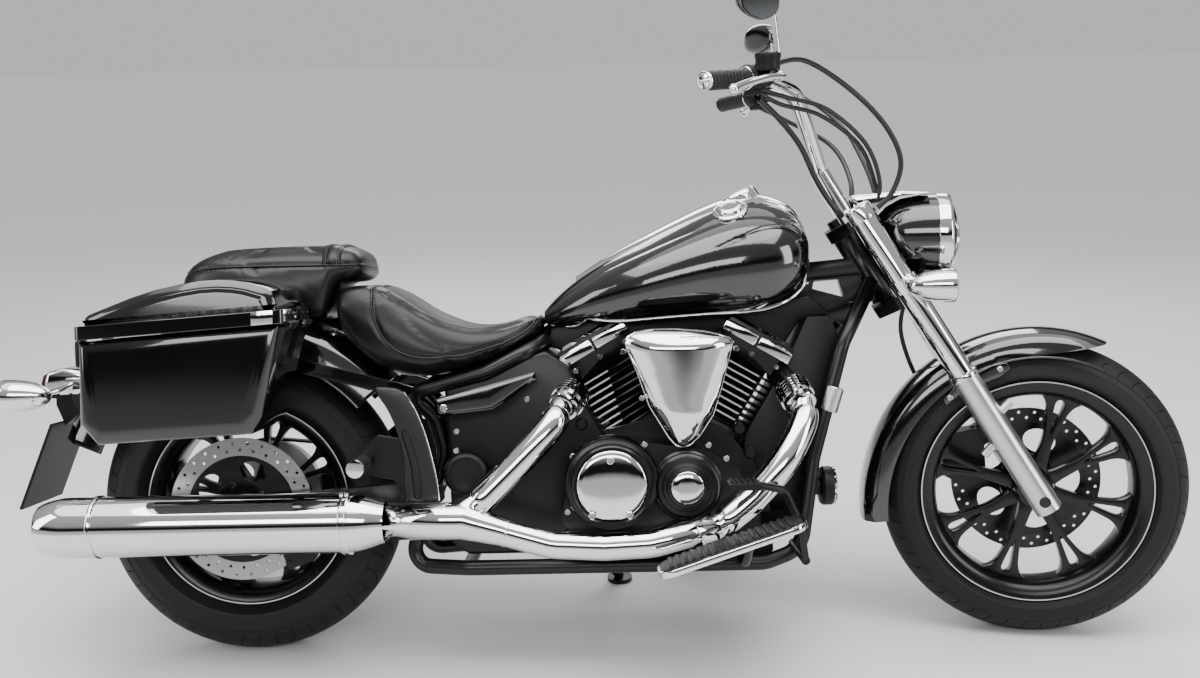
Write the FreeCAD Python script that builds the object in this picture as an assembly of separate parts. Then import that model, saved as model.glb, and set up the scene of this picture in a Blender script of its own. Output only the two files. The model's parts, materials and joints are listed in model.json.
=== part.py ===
import FreeCAD, Part
import math
import os

# A cruiser motorcycle with an air-cooled V-twin, hard saddlebags and pulled-back handlebar.
# Everything is drawn upright in bike coordinates: X forward from the rear axle, Y to the rider's
# left, Z up from the ground line. The steered parts are then turned, the whole is leaned on its
# side stand, and the origin goes to the floor midway between the two tyres' contact points.
# Sizes are in millimetres, angles in degrees.

# Stance
WHEELBASE = 1685.0
RAKE = 32.0
TRAIL = 145.0
LEAN = 10.36
STEER_REST = -9.5

# Wheels: outer radius and width of each tyre, bead seat radius and width between the beads
FRONT_TYRE_RADIUS = 320.0
FRONT_TYRE_WIDTH = 130.0
FRONT_BEAD_RADIUS = 229.0
FRONT_BEAD_WIDTH = 80.0
FRONT_WINDOW_RADIUS = 205.0
REAR_TYRE_RADIUS = 322.0
REAR_TYRE_WIDTH = 170.0
REAR_BEAD_RADIUS = 203.0
REAR_BEAD_WIDTH = 104.0
REAR_WINDOW_RADIUS = 182.0
SPOKE_COUNT = 8
SPOKE_PHASE = 73.8
SPOKE_THICKNESS = 26.0
HUB_RADIUS = 42.0
HUB_LENGTH = 96.0
FRONT_DISC_RADIUS = 160.0
FRONT_DISC_INNER = 128.0
FRONT_DISC_Y = 68.0
REAR_DISC_RADIUS = 149.0
REAR_DISC_INNER = 112.0
REAR_DISC_Y = -111.0
DISC_THICKNESS = 5.0

# Axles and running clearances
AXLE_RADIUS = 10.0
RUNNING_GAP = 0.05
SEAT_GAP = 0.3

# Fork and steering head
LEG_SPACING = 210.0
SLIDER_RADIUS = 28.0
COVER_RADIUS = 26.0
LEG_BOTTOM_S = 322.0
SLIDER_TOP_S = 655.0
LEG_TOP_S = 1070.0
LOWER_YOKE_S = 850.0
UPPER_YOKE_S = 1040.0
YOKE_THICKNESS = 26.0
STEM_RADIUS = 15.0
HEAD_TUBE_RADIUS = 29.0

# Frame
TUBE_RADIUS = 16.0
BACKBONE_RADIUS = 22.0
RAIL_Y = 118.0
UPRIGHT_Y = 84.0
LOWER_RAIL_Z = 190.0
HORN_TUBE_X = 1185.0
HORN_Z = 330.0
PIVOT = (400.0, 352.0)
PIVOT_RADIUS = 12.0

# Engine
CRANK_X = 912.0
CRANK_Z = 350.0
BANK_ANGLE = 30.0
BARREL_WIDTH = 150.0
BARREL_START = 160.0
FIN_COUNT = 9
FIN_PITCH = 15.0
FIN_THICKNESS = 5.0
CORE_RADIUS = 52.0
HEAD_HEIGHT = 38.0
ROCKER_HEIGHT = 40.0
CASE_HALF_WIDTH = 110.0
CASE_INSET = 14.0

# Exhaust
SILENCER_RADIUS = 60.0
SILENCER_Y = -232.0
SILENCER_Z = 313.0
SILENCER_FRONT = 240.0
SILENCER_REAR = -365.0
MUFFLER_PIPE_RADIUS = 37.0
MAIN_PIPE_RADIUS = 28.0
HEADER_RADIUS = 25.0

# Fenders: radius of each crown about its axle, radius of the skirt's edge, half the width
FENDER_OUTER = 412.0
FENDER_HALF = 104.0
FENDER_SKIRT = 318.0
FENDER_WALL = 3.0
FRONT_FENDER_OUTER = 349.0
FRONT_FENDER_HALF = 73.0
FRONT_SKIRT = 292.0
TAIL_START = 122.0
TAIL_END = 185.0
TAIL_EASE = 40.0

# Saddlebags
BAG_INNER_Y = 195.0
BAG_OUTER_Y = 408.0
BAG_WALL = 4.0
LID_GAP = 1.0

# Handlebar
BAR_RADIUS = 12.7
GRIP_RADIUS = 18.0
GRIP_LENGTH = 120.0

# Side stand
STAND_PIVOT = (700.0, 156.0, 190.0)
STAND_FOOT = (790.0, 306.0)
STAND_RADIUS = 11.0
STAND_EYE_RADIUS = 18.0
STAND_EYE_THICKNESS = 12.0
STAND_PIN_RADIUS = 6.0
STAND_HEEL_HEIGHT = 12.0
FOLDED_STAND = (-0.985, 0.17, 0.03)


def vec(x, y, z):
    return FreeCAD.Vector(x, y, z)


UP = vec(0, 0, 1)
LEFT = vec(0, 1, 0)
ORIGIN = vec(0, 0, 0)
STEER_AXIS = vec(-math.sin(math.radians(RAKE)), 0, math.cos(math.radians(RAKE)))
STEER_NORMAL = vec(math.cos(math.radians(RAKE)), 0, math.sin(math.radians(RAKE)))
STEER_FOOT = vec(WHEELBASE + TRAIL, 0, 0)
FRONT_AXLE = vec(WHEELBASE, 0, FRONT_TYRE_RADIUS)
REAR_AXLE = vec(0, 0, REAR_TYRE_RADIUS)
FORK_OFFSET = (FRONT_AXLE - STEER_FOOT).dot(STEER_NORMAL)
CRANK = vec(CRANK_X, 0, CRANK_Z)


def on_fork(s, y, t=FORK_OFFSET):
    """Point at s along the steering axis, y to the left and t ahead of that axis."""
    return STEER_FOOT + STEER_AXIS * s + STEER_NORMAL * t + LEFT * y


def face_xz(points, y):
    corners = [vec(x, y, z) for x, z in points]
    return Part.Face(Part.makePolygon(corners + corners[:1]))


def plate(points, y0, y1):
    """Prism of an outline in the XZ plane, from y0 to y1."""
    return face_xz(points, y0).extrude(vec(0, y1 - y0, 0))


def box(x0, x1, y0, y1, z0, z1):
    return Part.makeBox(x1 - x0, y1 - y0, z1 - z0, vec(x0, y0, z0))


def rod(start, end, radius):
    return Part.makeCylinder(radius, (end - start).Length, start, end - start)


def cone(start, end, radius0, radius1):
    return Part.makeCone(radius0, radius1, (end - start).Length, start, end - start)


def disc(x, z, radius, y0, y1):
    """Round boss across the bike from y0 to y1."""
    return rod(vec(x, min(y0, y1), z), vec(x, max(y0, y1), z), radius)


def fuse(shapes):
    whole = shapes[0]
    for shape in shapes[1:]:
        whole = whole.fuse(shape)
    return whole.removeSplitter()


def mirror(shape):
    return shape.mirror(ORIGIN, LEFT)


def pair(shape):
    """A right-hand piece and its left-hand twin."""
    return Part.makeCompound([shape, mirror(shape)])


def bent_wire(points, bend):
    """Straight runs through the points, each corner rounded by an arc of the bend radius."""
    edges = []
    last = points[0]
    for before, corner, after in zip(points, points[1:], points[2:]):
        back = before - corner
        ahead = after - corner
        shorter = min(back.Length, ahead.Length)
        back.normalize()
        ahead.normalize()
        half = back.getAngle(ahead) / 2
        reach = min(bend / math.tan(half), 0.45 * shorter)
        radius = reach * math.tan(half)
        middle = back + ahead
        middle.normalize()
        arc_start = corner + back * reach
        arc_end = corner + ahead * reach
        arc_middle = corner + middle * (radius / math.sin(half) - radius)
        edges.append(Part.LineSegment(last, arc_start).toShape())
        edges.append(Part.Arc(arc_start, arc_middle, arc_end).toShape())
        last = arc_end
    edges.append(Part.LineSegment(last, points[-1]).toShape())
    return Part.Wire(edges)


def pipe(points, radius, bend):
    route = [vec(*point) for point in points]
    path = bent_wire(route, bend)
    section = Part.Wire(Part.makeCircle(radius, route[0], route[1] - route[0]))
    return path.makePipeShell([section], True, False)


def spin(profile, centre, angle=360.0, start=0.0):
    """Revolve an outline of (radius, y) points about a crosswise axis through the centre."""
    edges = []
    for first, second in zip(profile, profile[1:] + profile[:1]):
        if len(second) == 3:
            continue
        if len(first) == 3:
            before = profile[profile.index(first) - 1]
            edges.append(Part.Arc(vec(before[0], before[1], 0), vec(first[0], first[1], 0),
                                  vec(second[0], second[1], 0)).toShape())
            continue
        edges.append(Part.LineSegment(vec(first[0], first[1], 0), vec(second[0], second[1], 0)).toShape())
    face = Part.Face(Part.Wire(edges))
    solid = face.revolve(ORIGIN, LEFT, -angle)
    solid.rotate(ORIGIN, LEFT, -start)
    solid.translate(centre)
    return solid


# Wheels

def tyre(centre, radius, width, bead_radius, bead_width):
    half = width / 2
    bead = bead_width / 2
    flange = bead_radius + 12
    profile = [(bead_radius, -bead), (bead_radius + 3, -bead - 5), (flange, -bead - 7),
               (radius - half, -half), (radius, 0, "crown"), (radius - half, half),
               (flange, bead + 7), (bead_radius + 3, bead + 5), (bead_radius, bead)]
    return spin(profile, centre)


def spoke(window_radius):
    """One forked spoke along +X: a stem that opens into two prongs at the rim."""
    k = window_radius / FRONT_WINDOW_RADIUS
    tip = window_radius + 4
    outline = [(HUB_RADIUS - 6, -15), (100 * k, -10), (150 * k, -17), (tip, -31),
               (tip, 31), (150 * k, 17), (100 * k, 10), (HUB_RADIUS - 6, 15)]
    slot = [(124 * k, -2.5), (124 * k, 2.5), (150 * k, 7), (194 * k, 15), (198 * k, 11),
            (198 * k, -11), (194 * k, -15), (150 * k, -7)]
    half = SPOKE_THICKNESS / 2
    return plate(outline, -half, half).cut(plate(slot, -half, half))


def rim(centre, bead_radius, bead_width, window_radius, hub_length):
    bead = bead_width / 2
    flange = bead_radius + 12
    profile = [(window_radius, -bead + 8), (window_radius, bead - 8), (window_radius + 12, bead + 10),
               (flange, bead + 13), (flange, bead + 7), (bead_radius + 3, bead + 5), (bead_radius, bead),
               (bead_radius, -bead), (bead_radius + 3, -bead - 5), (flange, -bead - 7),
               (flange, -bead - 13), (window_radius + 12, -bead - 10)]
    pieces = [spin(profile, ORIGIN), disc(0, 0, HUB_RADIUS, -hub_length / 2, hub_length / 2)]
    for index in range(SPOKE_COUNT):
        arm = spoke(window_radius)
        arm.rotate(ORIGIN, LEFT, -(SPOKE_PHASE + index * 360 / SPOKE_COUNT))
        pieces.append(arm)
    wheel = fuse(pieces)
    bore = disc(0, 0, AXLE_RADIUS + RUNNING_GAP, -hub_length, hub_length)
    wheel = wheel.cut(bore)
    wheel.translate(centre)
    return wheel


def brake_disc(centre, radius, inner, y, hub_side):
    """Brake ring on a five-armed carrier that reaches in to the hub."""
    half = DISC_THICKNESS / 2
    ring = disc(0, 0, radius, y - half, y + half).cut(disc(0, 0, inner, y - half, y + half))
    carrier = disc(0, 0, inner, y - half + 1, y + half - 1)
    carrier = carrier.cut(disc(0, 0, 62, y - half, y + half))
    window = disc(92, 0, 21, y - half, y + half)
    for index in range(SPOKE_COUNT):
        hole = window.copy()
        hole.rotate(ORIGIN, LEFT, index * 360 / SPOKE_COUNT)
        carrier = carrier.cut(hole)
    hat = disc(0, 0, 66, hub_side, y + math.copysign(half, y)).cut(disc(0, 0, 30, hub_side, y * 2))
    whole = fuse([ring, carrier, hat])
    whole.translate(centre)
    return whole


def rear_pulley(centre):
    body = disc(0, 0, 115, 102, 130).cut(disc(0, 0, 30, 90, 140))
    for index in range(5):
        hole = disc(72, 0, 22, 90, 140)
        hole.rotate(ORIGIN, LEFT, index * 72)
        body = body.cut(hole)
    boss = disc(0, 0, 34, 48, 102).cut(disc(0, 0, AXLE_RADIUS + 6, 40, 140))
    whole = fuse([body, boss])
    whole = whole.cut(disc(0, 0, 15, 40, 140))
    whole.translate(centre)
    return whole


# Steering

def front_axle():
    shaft = disc(0, 0, AXLE_RADIUS, -LEG_SPACING / 2 - 27, LEG_SPACING / 2 + 27)
    inner_end = HUB_LENGTH / 2 + SEAT_GAP
    leg_face = LEG_SPACING / 2 - SLIDER_RADIUS
    spacer = disc(0, 0, 17, inner_end, leg_face)
    whole = fuse([shaft, spacer, mirror(spacer)])
    whole.translate(FRONT_AXLE)
    return whole


def fork_leg(side):
    y = side * LEG_SPACING / 2
    slider = rod(on_fork(LEG_BOTTOM_S, y), on_fork(SLIDER_TOP_S, y), SLIDER_RADIUS)
    cover = rod(on_fork(SLIDER_TOP_S, y), on_fork(LEG_TOP_S - 12, y), COVER_RADIUS)
    cap = cone(on_fork(LEG_TOP_S - 12, y), on_fork(LEG_TOP_S, y), COVER_RADIUS, COVER_RADIUS - 4)
    lug_root = on_fork(545, y, FORK_OFFSET)
    front_lug = rod(lug_root, on_fork(560, y, FORK_OFFSET + 52), 9)
    rear_lug = rod(on_fork(505, y), on_fork(490, y, FORK_OFFSET - 52), 9)
    leg = fuse([slider, cover, cap, front_lug, rear_lug])
    return leg.cut(disc(FRONT_AXLE.x, FRONT_AXLE.z, AXLE_RADIUS, y - 60, y + 60))


def fork_legs():
    return Part.makeCompound([fork_leg(1), fork_leg(-1)])


def yoke(s, ahead):
    """Flat triple clamp: a rounded plate square to the steering axis."""
    half = YOKE_THICKNESS / 2
    outline = [(-34, -32), (-34, 32), (10, 75), (FORK_OFFSET - 32, 138), (ahead, 138),
               (ahead, -138), (FORK_OFFSET - 32, -138), (10, -75)]
    corners = [on_fork(s - half, y, t) for t, y in outline]
    return Part.Face(Part.makePolygon(corners + corners[:1])).extrude(STEER_AXIS * YOKE_THICKNESS)


def yokes(legs):
    lower = yoke(LOWER_YOKE_S, FORK_OFFSET + 30)
    upper = yoke(UPPER_YOKE_S, FORK_OFFSET + 30)
    stem = rod(on_fork(LOWER_YOKE_S, 0, 0), on_fork(UPPER_YOKE_S + 24, 0, 0), STEM_RADIUS)
    nut = rod(on_fork(UPPER_YOKE_S + 10, 0, 0), on_fork(UPPER_YOKE_S + 28, 0, 0), 20)
    bracket = plate([(1410, 745), (1452, 765), (1462, 804), (1432, 800), (1410, 775)], -20, 20)
    return fuse([lower, upper, stem, nut, bracket]).cut(legs).cut(headlamp())


def fender_profile(outer, half, shoulder, skirt, wall):
    """Section of a fender: domed crown, rounded shoulders and straight skirts, one wall thick."""
    drop = 9.0
    edge = outer - drop - shoulder
    return [(skirt, -half), (edge, -half), (outer - drop, -half + shoulder), (outer, 0, "crown"),
            (outer - drop, half - shoulder), (edge, half), (skirt, half), (skirt, half - wall),
            (edge - 1, half - wall), (outer - drop - wall, half - shoulder - 2), (outer - wall, 0, "inside"),
            (outer - drop - wall, -half + shoulder + 2), (edge - 1, -half + wall), (skirt, -half + wall)]


def front_fender(legs):
    """Main arc over the wheel, a tail that eases away from the tyre, and an oblique front tip."""
    half = FRONT_FENDER_HALF
    main = spin(fender_profile(FRONT_FENDER_OUTER, half, 18, FRONT_SKIRT, FENDER_WALL), FRONT_AXLE,
                TAIL_START - 64, 64)
    toward = math.radians(TAIL_START)
    tail_centre = FRONT_AXLE - vec(math.cos(toward), 0, math.sin(toward)) * TAIL_EASE
    tail = spin(fender_profile(FRONT_FENDER_OUTER + TAIL_EASE, half, 18, FRONT_SKIRT + TAIL_EASE, FENDER_WALL),
                tail_centre, TAIL_END - TAIL_START, TAIL_START)
    below_tip = plate([(1600, 606), (1842, 640), (1920, 560), (1700, 520)], -100, 100)
    shell = fuse([main.cut(below_tip), tail])
    boss = disc(1512, 594, 12, -half - 30, -half + FENDER_WALL).cut(legs)
    boss = min(boss.Solids, key=lambda solid: abs(solid.CenterOfMass.y))
    return fuse([shell, boss, mirror(boss)])


LAMP_Z = 868.0
LENS_RADIUS = 76.0
LENS_BACK_X = 1486.0
LENS_EDGE_X = 1500.0
LENS_TIP_X = 1526.0


def headlamp():
    """Bowl of the lamp with a rolled rim round the glass."""
    profile = [(1346, 0), (1352, 38), (1374, 66), (1404, 82), (1440, 85), (1474, 86), (1474, 89), (LENS_EDGE_X, 89),
               (LENS_EDGE_X, LENS_RADIUS), (LENS_BACK_X, LENS_RADIUS), (LENS_BACK_X, 0)]
    corners = [vec(x, 0, LAMP_Z + radius) for x, radius in profile]
    return Part.Face(Part.makePolygon(corners + corners[:1])).revolve(vec(0, 0, LAMP_Z), vec(1, 0, 0), 360)


def headlamp_lens():
    """Glass set in the lamp's rim, with a domed face."""
    height = LENS_TIP_X - LENS_EDGE_X
    dome = (LENS_RADIUS ** 2 + height ** 2) / (2 * height)
    back = vec(LENS_BACK_X, 0, LAMP_Z)
    glass = rod(back, vec(LENS_TIP_X + 4, 0, LAMP_Z), LENS_RADIUS)
    return glass.common(Part.makeSphere(dome, vec(LENS_TIP_X - dome, 0, LAMP_Z)))


def bullet(tip, length, radius, direction):
    """Bullet lamp: a domed shell that ends in a flat lens ring."""
    base = tip - direction * length
    nose = Part.makeSphere(radius * 0.42, tip - direction * radius * 0.42)
    body = cone(base + direction * length * 0.35, tip - direction * radius * 0.5, radius, radius * 0.42)
    ring = rod(base, base + direction * length * 0.35, radius)
    return fuse([ring, body, nose])


def front_signals(legs):
    lamp = bullet(vec(1398, -172, 776), 96, 34, vec(-1, 0, 0))
    stalk = rod(on_fork(884, -LEG_SPACING / 2), vec(1430, -168, 776), 9)
    band = rod(on_fork(870, -LEG_SPACING / 2), on_fork(898, -LEG_SPACING / 2), COVER_RADIUS + 5)
    whole = fuse([lamp, stalk, band]).cut(legs)
    return pair(max(whole.Solids, key=lambda solid: solid.Volume))


BAR_POINTS = [(1240, -60, 990), (1184, -130, 1166), (1120, -256, 1192), (1008, -400, 1178)]


def handlebar():
    half = [(x, y, z) for x, y, z in BAR_POINTS]
    route = [(x, -y, z) for x, y, z in reversed(half)] + half
    return pipe(route, BAR_RADIUS, 60)


def risers(bar, upper_yoke_node):
    foot = on_fork(UPPER_YOKE_S + YOKE_THICKNESS / 2, -60, 22)
    post = rod(foot, vec(1240, -60, 990) + STEER_AXIS * 18, 19)
    whole = post.cut(bar)
    whole = max(whole.Solids, key=lambda solid: solid.Volume)
    return whole.cut(upper_yoke_node)


def grip(bar):
    end = vec(*BAR_POINTS[-1])
    inward = vec(*BAR_POINTS[-2]) - end
    inward.normalize()
    sleeve = rod(end + inward * 4, end + inward * (4 + GRIP_LENGTH), GRIP_RADIUS)
    flange = rod(end + inward * (GRIP_LENGTH - 2), end + inward * (4 + GRIP_LENGTH), GRIP_RADIUS + 5)
    return fuse([sleeve, flange]).cut(bar)


def along_grip(distance, side=0.0, up=0.0):
    """Point measured inward from the end of the right grip."""
    end = vec(*BAR_POINTS[-1])
    inward = vec(*BAR_POINTS[-2]) - end
    inward.normalize()
    across = inward.cross(UP)
    across.normalize()
    return end + inward * distance + across * side + UP * up


def hand_control(bar):
    housing = rod(along_grip(GRIP_LENGTH + 4 + SEAT_GAP), along_grip(GRIP_LENGTH + 44), 25)
    pivot = along_grip(GRIP_LENGTH + 34, 68, -4)
    arm = rod(along_grip(GRIP_LENGTH + 30), pivot, 11)
    lever = pipe([tuple(pivot), tuple(along_grip(110, 66, -2)), tuple(along_grip(50, 60, -10)),
                  tuple(along_grip(12, 62, -20))], 7, 40)
    knob = Part.makeSphere(10, along_grip(12, 62, -20))
    return fuse([housing, arm, lever, knob]).cut(bar)


def master_cylinder(control):
    low = along_grip(GRIP_LENGTH + 24, 36, 8)
    high = along_grip(GRIP_LENGTH + 24, 36, 46)
    reservoir = rod(low, high, 24)
    return reservoir.cut(control)


def mirror_set():
    """Stem from a clamp on the bar up to an oval head turned a little outward."""
    clamp_at = along_grip(GRIP_LENGTH + 58)
    top = along_grip(GRIP_LENGTH + 40, 34, 132)
    stem = pipe([tuple(clamp_at), tuple(along_grip(GRIP_LENGTH + 58, 34, 40)), tuple(top)], 5, 30)
    band = rod(along_grip(GRIP_LENGTH + 48), along_grip(GRIP_LENGTH + 68), 19)
    out = vec(-0.55, -0.83, 0)
    through = vec(-0.83, 0.55, 0)
    head = [(-14, 14), (6, -22), (46, -36), (92, -28), (120, 0), (104, 30), (50, 42), (8, 36)]
    corners = [top - through * 8 + out * u + UP * w for u, w in head]
    shell = Part.Face(Part.makePolygon(corners + corners[:1])).extrude(through * 22)
    return fuse([stem, band, shell])


# Routes of the hoses and cables in steered coordinates, right-hand ones first
CABLES = [
    [(1128, -304, 1211), (1196, -212, 1224), (1290, -112, 1172), (1362, -78, 1100), (1396, -62, 1028),
     (1382, -56, 966), (1350, -56, 930)],
    [(1104, -280, 1162), (1150, -236, 1140), (1230, -140, 1120), (1310, -76, 1060), (1346, -40, 980),
     (1352, -30, 926)],
    [(1127, 284, 1190), (1190, 214, 1186), (1280, 104, 1112), (1322, 62, 1040), (1348, 34, 970),
     (1350, 30, 926)],
    [(1104, 280, 1162), (1168, 226, 1126), (1262, 124, 1066), (1300, 52, 990), (1300, 24, 915)],
    [(1424, 60, 743), (1414, 80, 650), (1452, 90, 540), (1506, 86, 466), (1536, 74, 425)],
]


def control_cables(holders):
    """Each hose starts flush on the housing or clamp that holds its end."""
    lengths = []
    for route in CABLES:
        free = pipe(route, 4.5, 60).cut(holders)
        lengths.append(max(free.Solids, key=lambda solid: solid.Volume))
    return Part.makeCompound(lengths)


def front_caliper(legs):
    body = plate([(1500, 420), (1590, 440), (1598, 330), (1560, 300), (1505, 330)], 48, 96)
    slot = disc(FRONT_AXLE.x, FRONT_AXLE.z, FRONT_DISC_RADIUS + 5, FRONT_DISC_Y - 7.5, FRONT_DISC_Y + 7.5)
    body = body.cut(slot)
    body = body.cut(legs)
    return max(body.Solids, key=lambda solid: solid.Volume)


# Chassis

def stand_heel():
    """Lower end of the stand's leg, a little above the floor so that the foot plate covers it."""
    return floor_point(*STAND_FOOT) + FLOOR_NORMAL * STAND_HEEL_HEIGHT


def stand_axis():
    """Hinge axis of the side stand, square to the leg both down and folded."""
    down = stand_heel() - vec(*STAND_PIVOT)
    axis = down.cross(vec(*FOLDED_STAND))
    axis.normalize()
    return axis


def frame():
    neck_top = on_fork(1024, 0, 0)
    neck_low = on_fork(868, 0, 0)
    head_tube = rod(neck_low, neck_top, HEAD_TUBE_RADIUS)
    backbone = pipe([(1320, 0, 802), (780, 0, 756), (640, 0, 664), (590, 0, 624)], BACKBONE_RADIUS, 90)
    loop = pipe([(1338, -20, 772), (1262, -78, 640), (1196, -86, 400), (1166, -108, 215),
                 (1090, -RAIL_Y, LOWER_RAIL_Z), (470, -RAIL_Y, LOWER_RAIL_Z), (345, -UPRIGHT_Y, LOWER_RAIL_Z),
                 (372, -UPRIGHT_Y, 290), (424, -UPRIGHT_Y, 430), (404, -UPRIGHT_Y, 505), (352, -104, 556),
                 (515, -RAIL_Y, 598), (604, -RAIL_Y + 8, 640), (632, -60, 656), (634, 0, 658)],
                TUBE_RADIUS, 60)
    gusset = plate([(1180, 726), (1288, 672), (1345, 735), (1330, 815), (1190, 795)], -14, 14)
    upper_hole = plate([(1212, 757), (1280, 738), (1270, 776), (1216, 776)], -20, 20)
    cross_low = rod(vec(470, -RAIL_Y, LOWER_RAIL_Z), vec(470, RAIL_Y, LOWER_RAIL_Z), 14)
    axis = stand_axis()
    pivot = vec(*STAND_PIVOT)
    face = STAND_EYE_THICKNESS / 2 + SEAT_GAP
    boss = rod(pivot - axis * (face + 30), pivot - axis * face, STAND_EYE_RADIUS)
    pin = rod(pivot - axis * face, pivot + axis * (face + 6), STAND_PIN_RADIUS)
    head = rod(pivot + axis * face, pivot + axis * (face + 6), STAND_PIN_RADIUS + 5)
    arm = rod(vec(STAND_PIVOT[0], RAIL_Y, LOWER_RAIL_Z), pivot - axis * (face + 22), 12)
    case_y = CASE_HALF_WIDTH - CASE_INSET
    front_mount = plate([(1186, 262), (1084, 244), (1084, 290), (1190, 310)], -case_y - 8, -case_y)
    feet = [box(x, x + 40, -RAIL_Y, -case_y, z, z + 16) for x, z in ((770, 190), (960, 182))]
    mounts = fuse([front_mount] + feet)
    horn_tube = rod(vec(HORN_TUBE_X, -92, HORN_Z), vec(HORN_TUBE_X, 92, HORN_Z), 8)
    tubes = fuse([head_tube, backbone, loop, mirror(loop), gusset.cut(upper_hole), cross_low,
                  mounts, mirror(mounts), horn_tube, boss, pin, head, arm])
    bore = rod(on_fork(800, 0, 0), on_fork(1100, 0, 0), STEM_RADIUS + RUNNING_GAP)
    pivot_hole = disc(PIVOT[0], PIVOT[1], PIVOT_RADIUS, -200, 200)
    return tubes.cut(bore).cut(pivot_hole)


def on_bank(angle, shape):
    """Lean a cylinder drawn straight up from the crank, and set it on the crank."""
    shape.rotate(ORIGIN, LEFT, angle)
    shape.translate(CRANK)
    return shape


def block(width, depth, corner, z0, z1):
    """Upright prism of a rectangle with cut corners."""
    a = width / 2
    b = depth / 2
    points = [(-a, -b + corner), (-a + corner, -b), (a - corner, -b), (a, -b + corner),
              (a, b - corner), (a - corner, b), (-a + corner, b), (-a, b - corner)]
    corners = [vec(x, y, z0) for x, y in points]
    return Part.Face(Part.makePolygon(corners + corners[:1])).extrude(vec(0, 0, z1 - z0))


HEAD_START = BARREL_START + FIN_COUNT * FIN_PITCH
ROCKER_START = HEAD_START + HEAD_HEIGHT


def cylinder(angle):
    pieces = [rod(vec(0, 0, BARREL_START - 20), vec(0, 0, HEAD_START), CORE_RADIUS)]
    for index in range(FIN_COUNT):
        z = BARREL_START + index * FIN_PITCH
        pieces.append(block(BARREL_WIDTH, BARREL_WIDTH, 22, z, z + FIN_THICKNESS))
    pieces.append(block(BARREL_WIDTH + 14, BARREL_WIDTH + 18, 24, HEAD_START, ROCKER_START))
    return on_bank(angle, fuse(pieces))


def rocker_cover(angle):
    low = block(BARREL_WIDTH + 8, BARREL_WIDTH + 12, 24, ROCKER_START, ROCKER_START + 18)
    high = block(BARREL_WIDTH - 30, BARREL_WIDTH - 14, 20, ROCKER_START + 18, ROCKER_START + ROCKER_HEIGHT)
    return on_bank(angle, fuse([low, high]))


def rocker_covers():
    return Part.makeCompound([rocker_cover(-BANK_ANGLE), rocker_cover(BANK_ANGLE)])


def engine_cases(cylinders):
    outline = [(610, 300), (650, 225), (760, 190), (1000, 175), (1070, 178), (1110, 210), (1105, 300),
               (1070, 400), (1010, 470), (940, 500), (880, 500), (800, 480), (680, 450), (615, 410)]
    body = plate(outline, -CASE_HALF_WIDTH + CASE_INSET, CASE_HALF_WIDTH - CASE_INSET)
    for angle in (-BANK_ANGLE, BANK_ANGLE):
        deck = on_bank(angle, block(BARREL_WIDTH - 6, BARREL_WIDTH - 6, 18, 90, BARREL_START))
        body = body.fuse(deck)
    return body.removeSplitter().cut(cylinders)


RIGHT_CASE = [(668, 300), (700, 262), (1000, 262), (1052, 320), (1030, 400), (960, 438), (800, 462), (700, 440)]


def engine_covers():
    case_y = -CASE_HALF_WIDTH + CASE_INSET
    right = plate(RIGHT_CASE, case_y, -190)
    clutch = disc(772, 378, 92, -190, -222)
    clutch_top = disc(772, 378, 80, -222, -235)
    small = disc(922, 370, 62, -190, -214)
    badge = disc(922, 370, 52, -214, -228)
    left = plate(RIGHT_CASE, -case_y, 150)
    stator = disc(912, 362, 92, 150, 196)
    drive_cover = disc(640, 330, 78, -case_y, 176)
    drive_link = plate([(640, 262), (720, 270), (720, 400), (640, 400)], -case_y, 170)
    belt_room = belt_loop(10, 100, 132)
    left = fuse([left, stator, drive_cover, drive_link]).cut(belt_room)
    return Part.makeCompound([fuse([right, clutch, clutch_top, small, badge]), left])


AIR_OUTLINE = [(806, 664), (824, 679), (873, 684), (949, 679), (1016, 662), (1018, 645), (979, 512), (950, 468),
               (918, 448), (888, 468), (850, 530), (806, 645)]


def air_cleaner(cylinders):
    """Cover on the right, its throat, and the manifold to both heads."""
    shell = plate(AIR_OUTLINE, -160, -216)
    face = plate([(912 + (x - 912) * 0.86, 590 + (z - 590) * 0.86) for x, z in AIR_OUTLINE], -216, -234)
    throat = rod(vec(CRANK_X, 0, 600), vec(CRANK_X, -160, 600), 30)
    runners = [rod(vec(CRANK_X, -4, 600), vec(CRANK_X + way * 96, -4, 652), 22) for way in (-1, 1)]
    manifold = fuse([throat] + runners).cut(cylinders)
    manifold = max(manifold.Solids, key=lambda solid: solid.Volume)
    return fuse([shell, face, manifold])


def exhaust_pipes(engine):
    """Front header into the long main pipe, with the rear header joining it; shields round both."""
    merge = vec(470, -232, 312)
    taper = vec(560, -230, 286)
    header = pipe([(1128, -52, 584), (1172, -146, 524), (1128, -205, 430), (1060, -218, 350),
                   (985, -228, 292), (940, -230, 275)], HEADER_RADIUS, 70)
    main = pipe([(985, -228, 292), (850, -230, 258), (755, -230, 254), (650, -230, 260), tuple(taper)],
                MAIN_PIPE_RADIUS, 120)
    swell = cone(taper, merge, MAIN_PIPE_RADIUS, MUFFLER_PIPE_RADIUS)
    knuckle = Part.makeSphere(MUFFLER_PIPE_RADIUS, merge)
    elbow = Part.makeSphere(MAIN_PIPE_RADIUS, taper)
    last = rod(merge, vec(SILENCER_FRONT + 80, SILENCER_Y, SILENCER_Z), MUFFLER_PIPE_RADIUS)
    rear = pipe([(702, -46, 566), (668, -156, 520), (640, -195, 478), (505, -222, 345), (450, -230, 318)],
                HEADER_RADIUS, 50)
    system = fuse([header, main, elbow, swell, knuckle, last, rear]).cut(engine)
    return max(system.Solids, key=lambda solid: solid.Volume)


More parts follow.
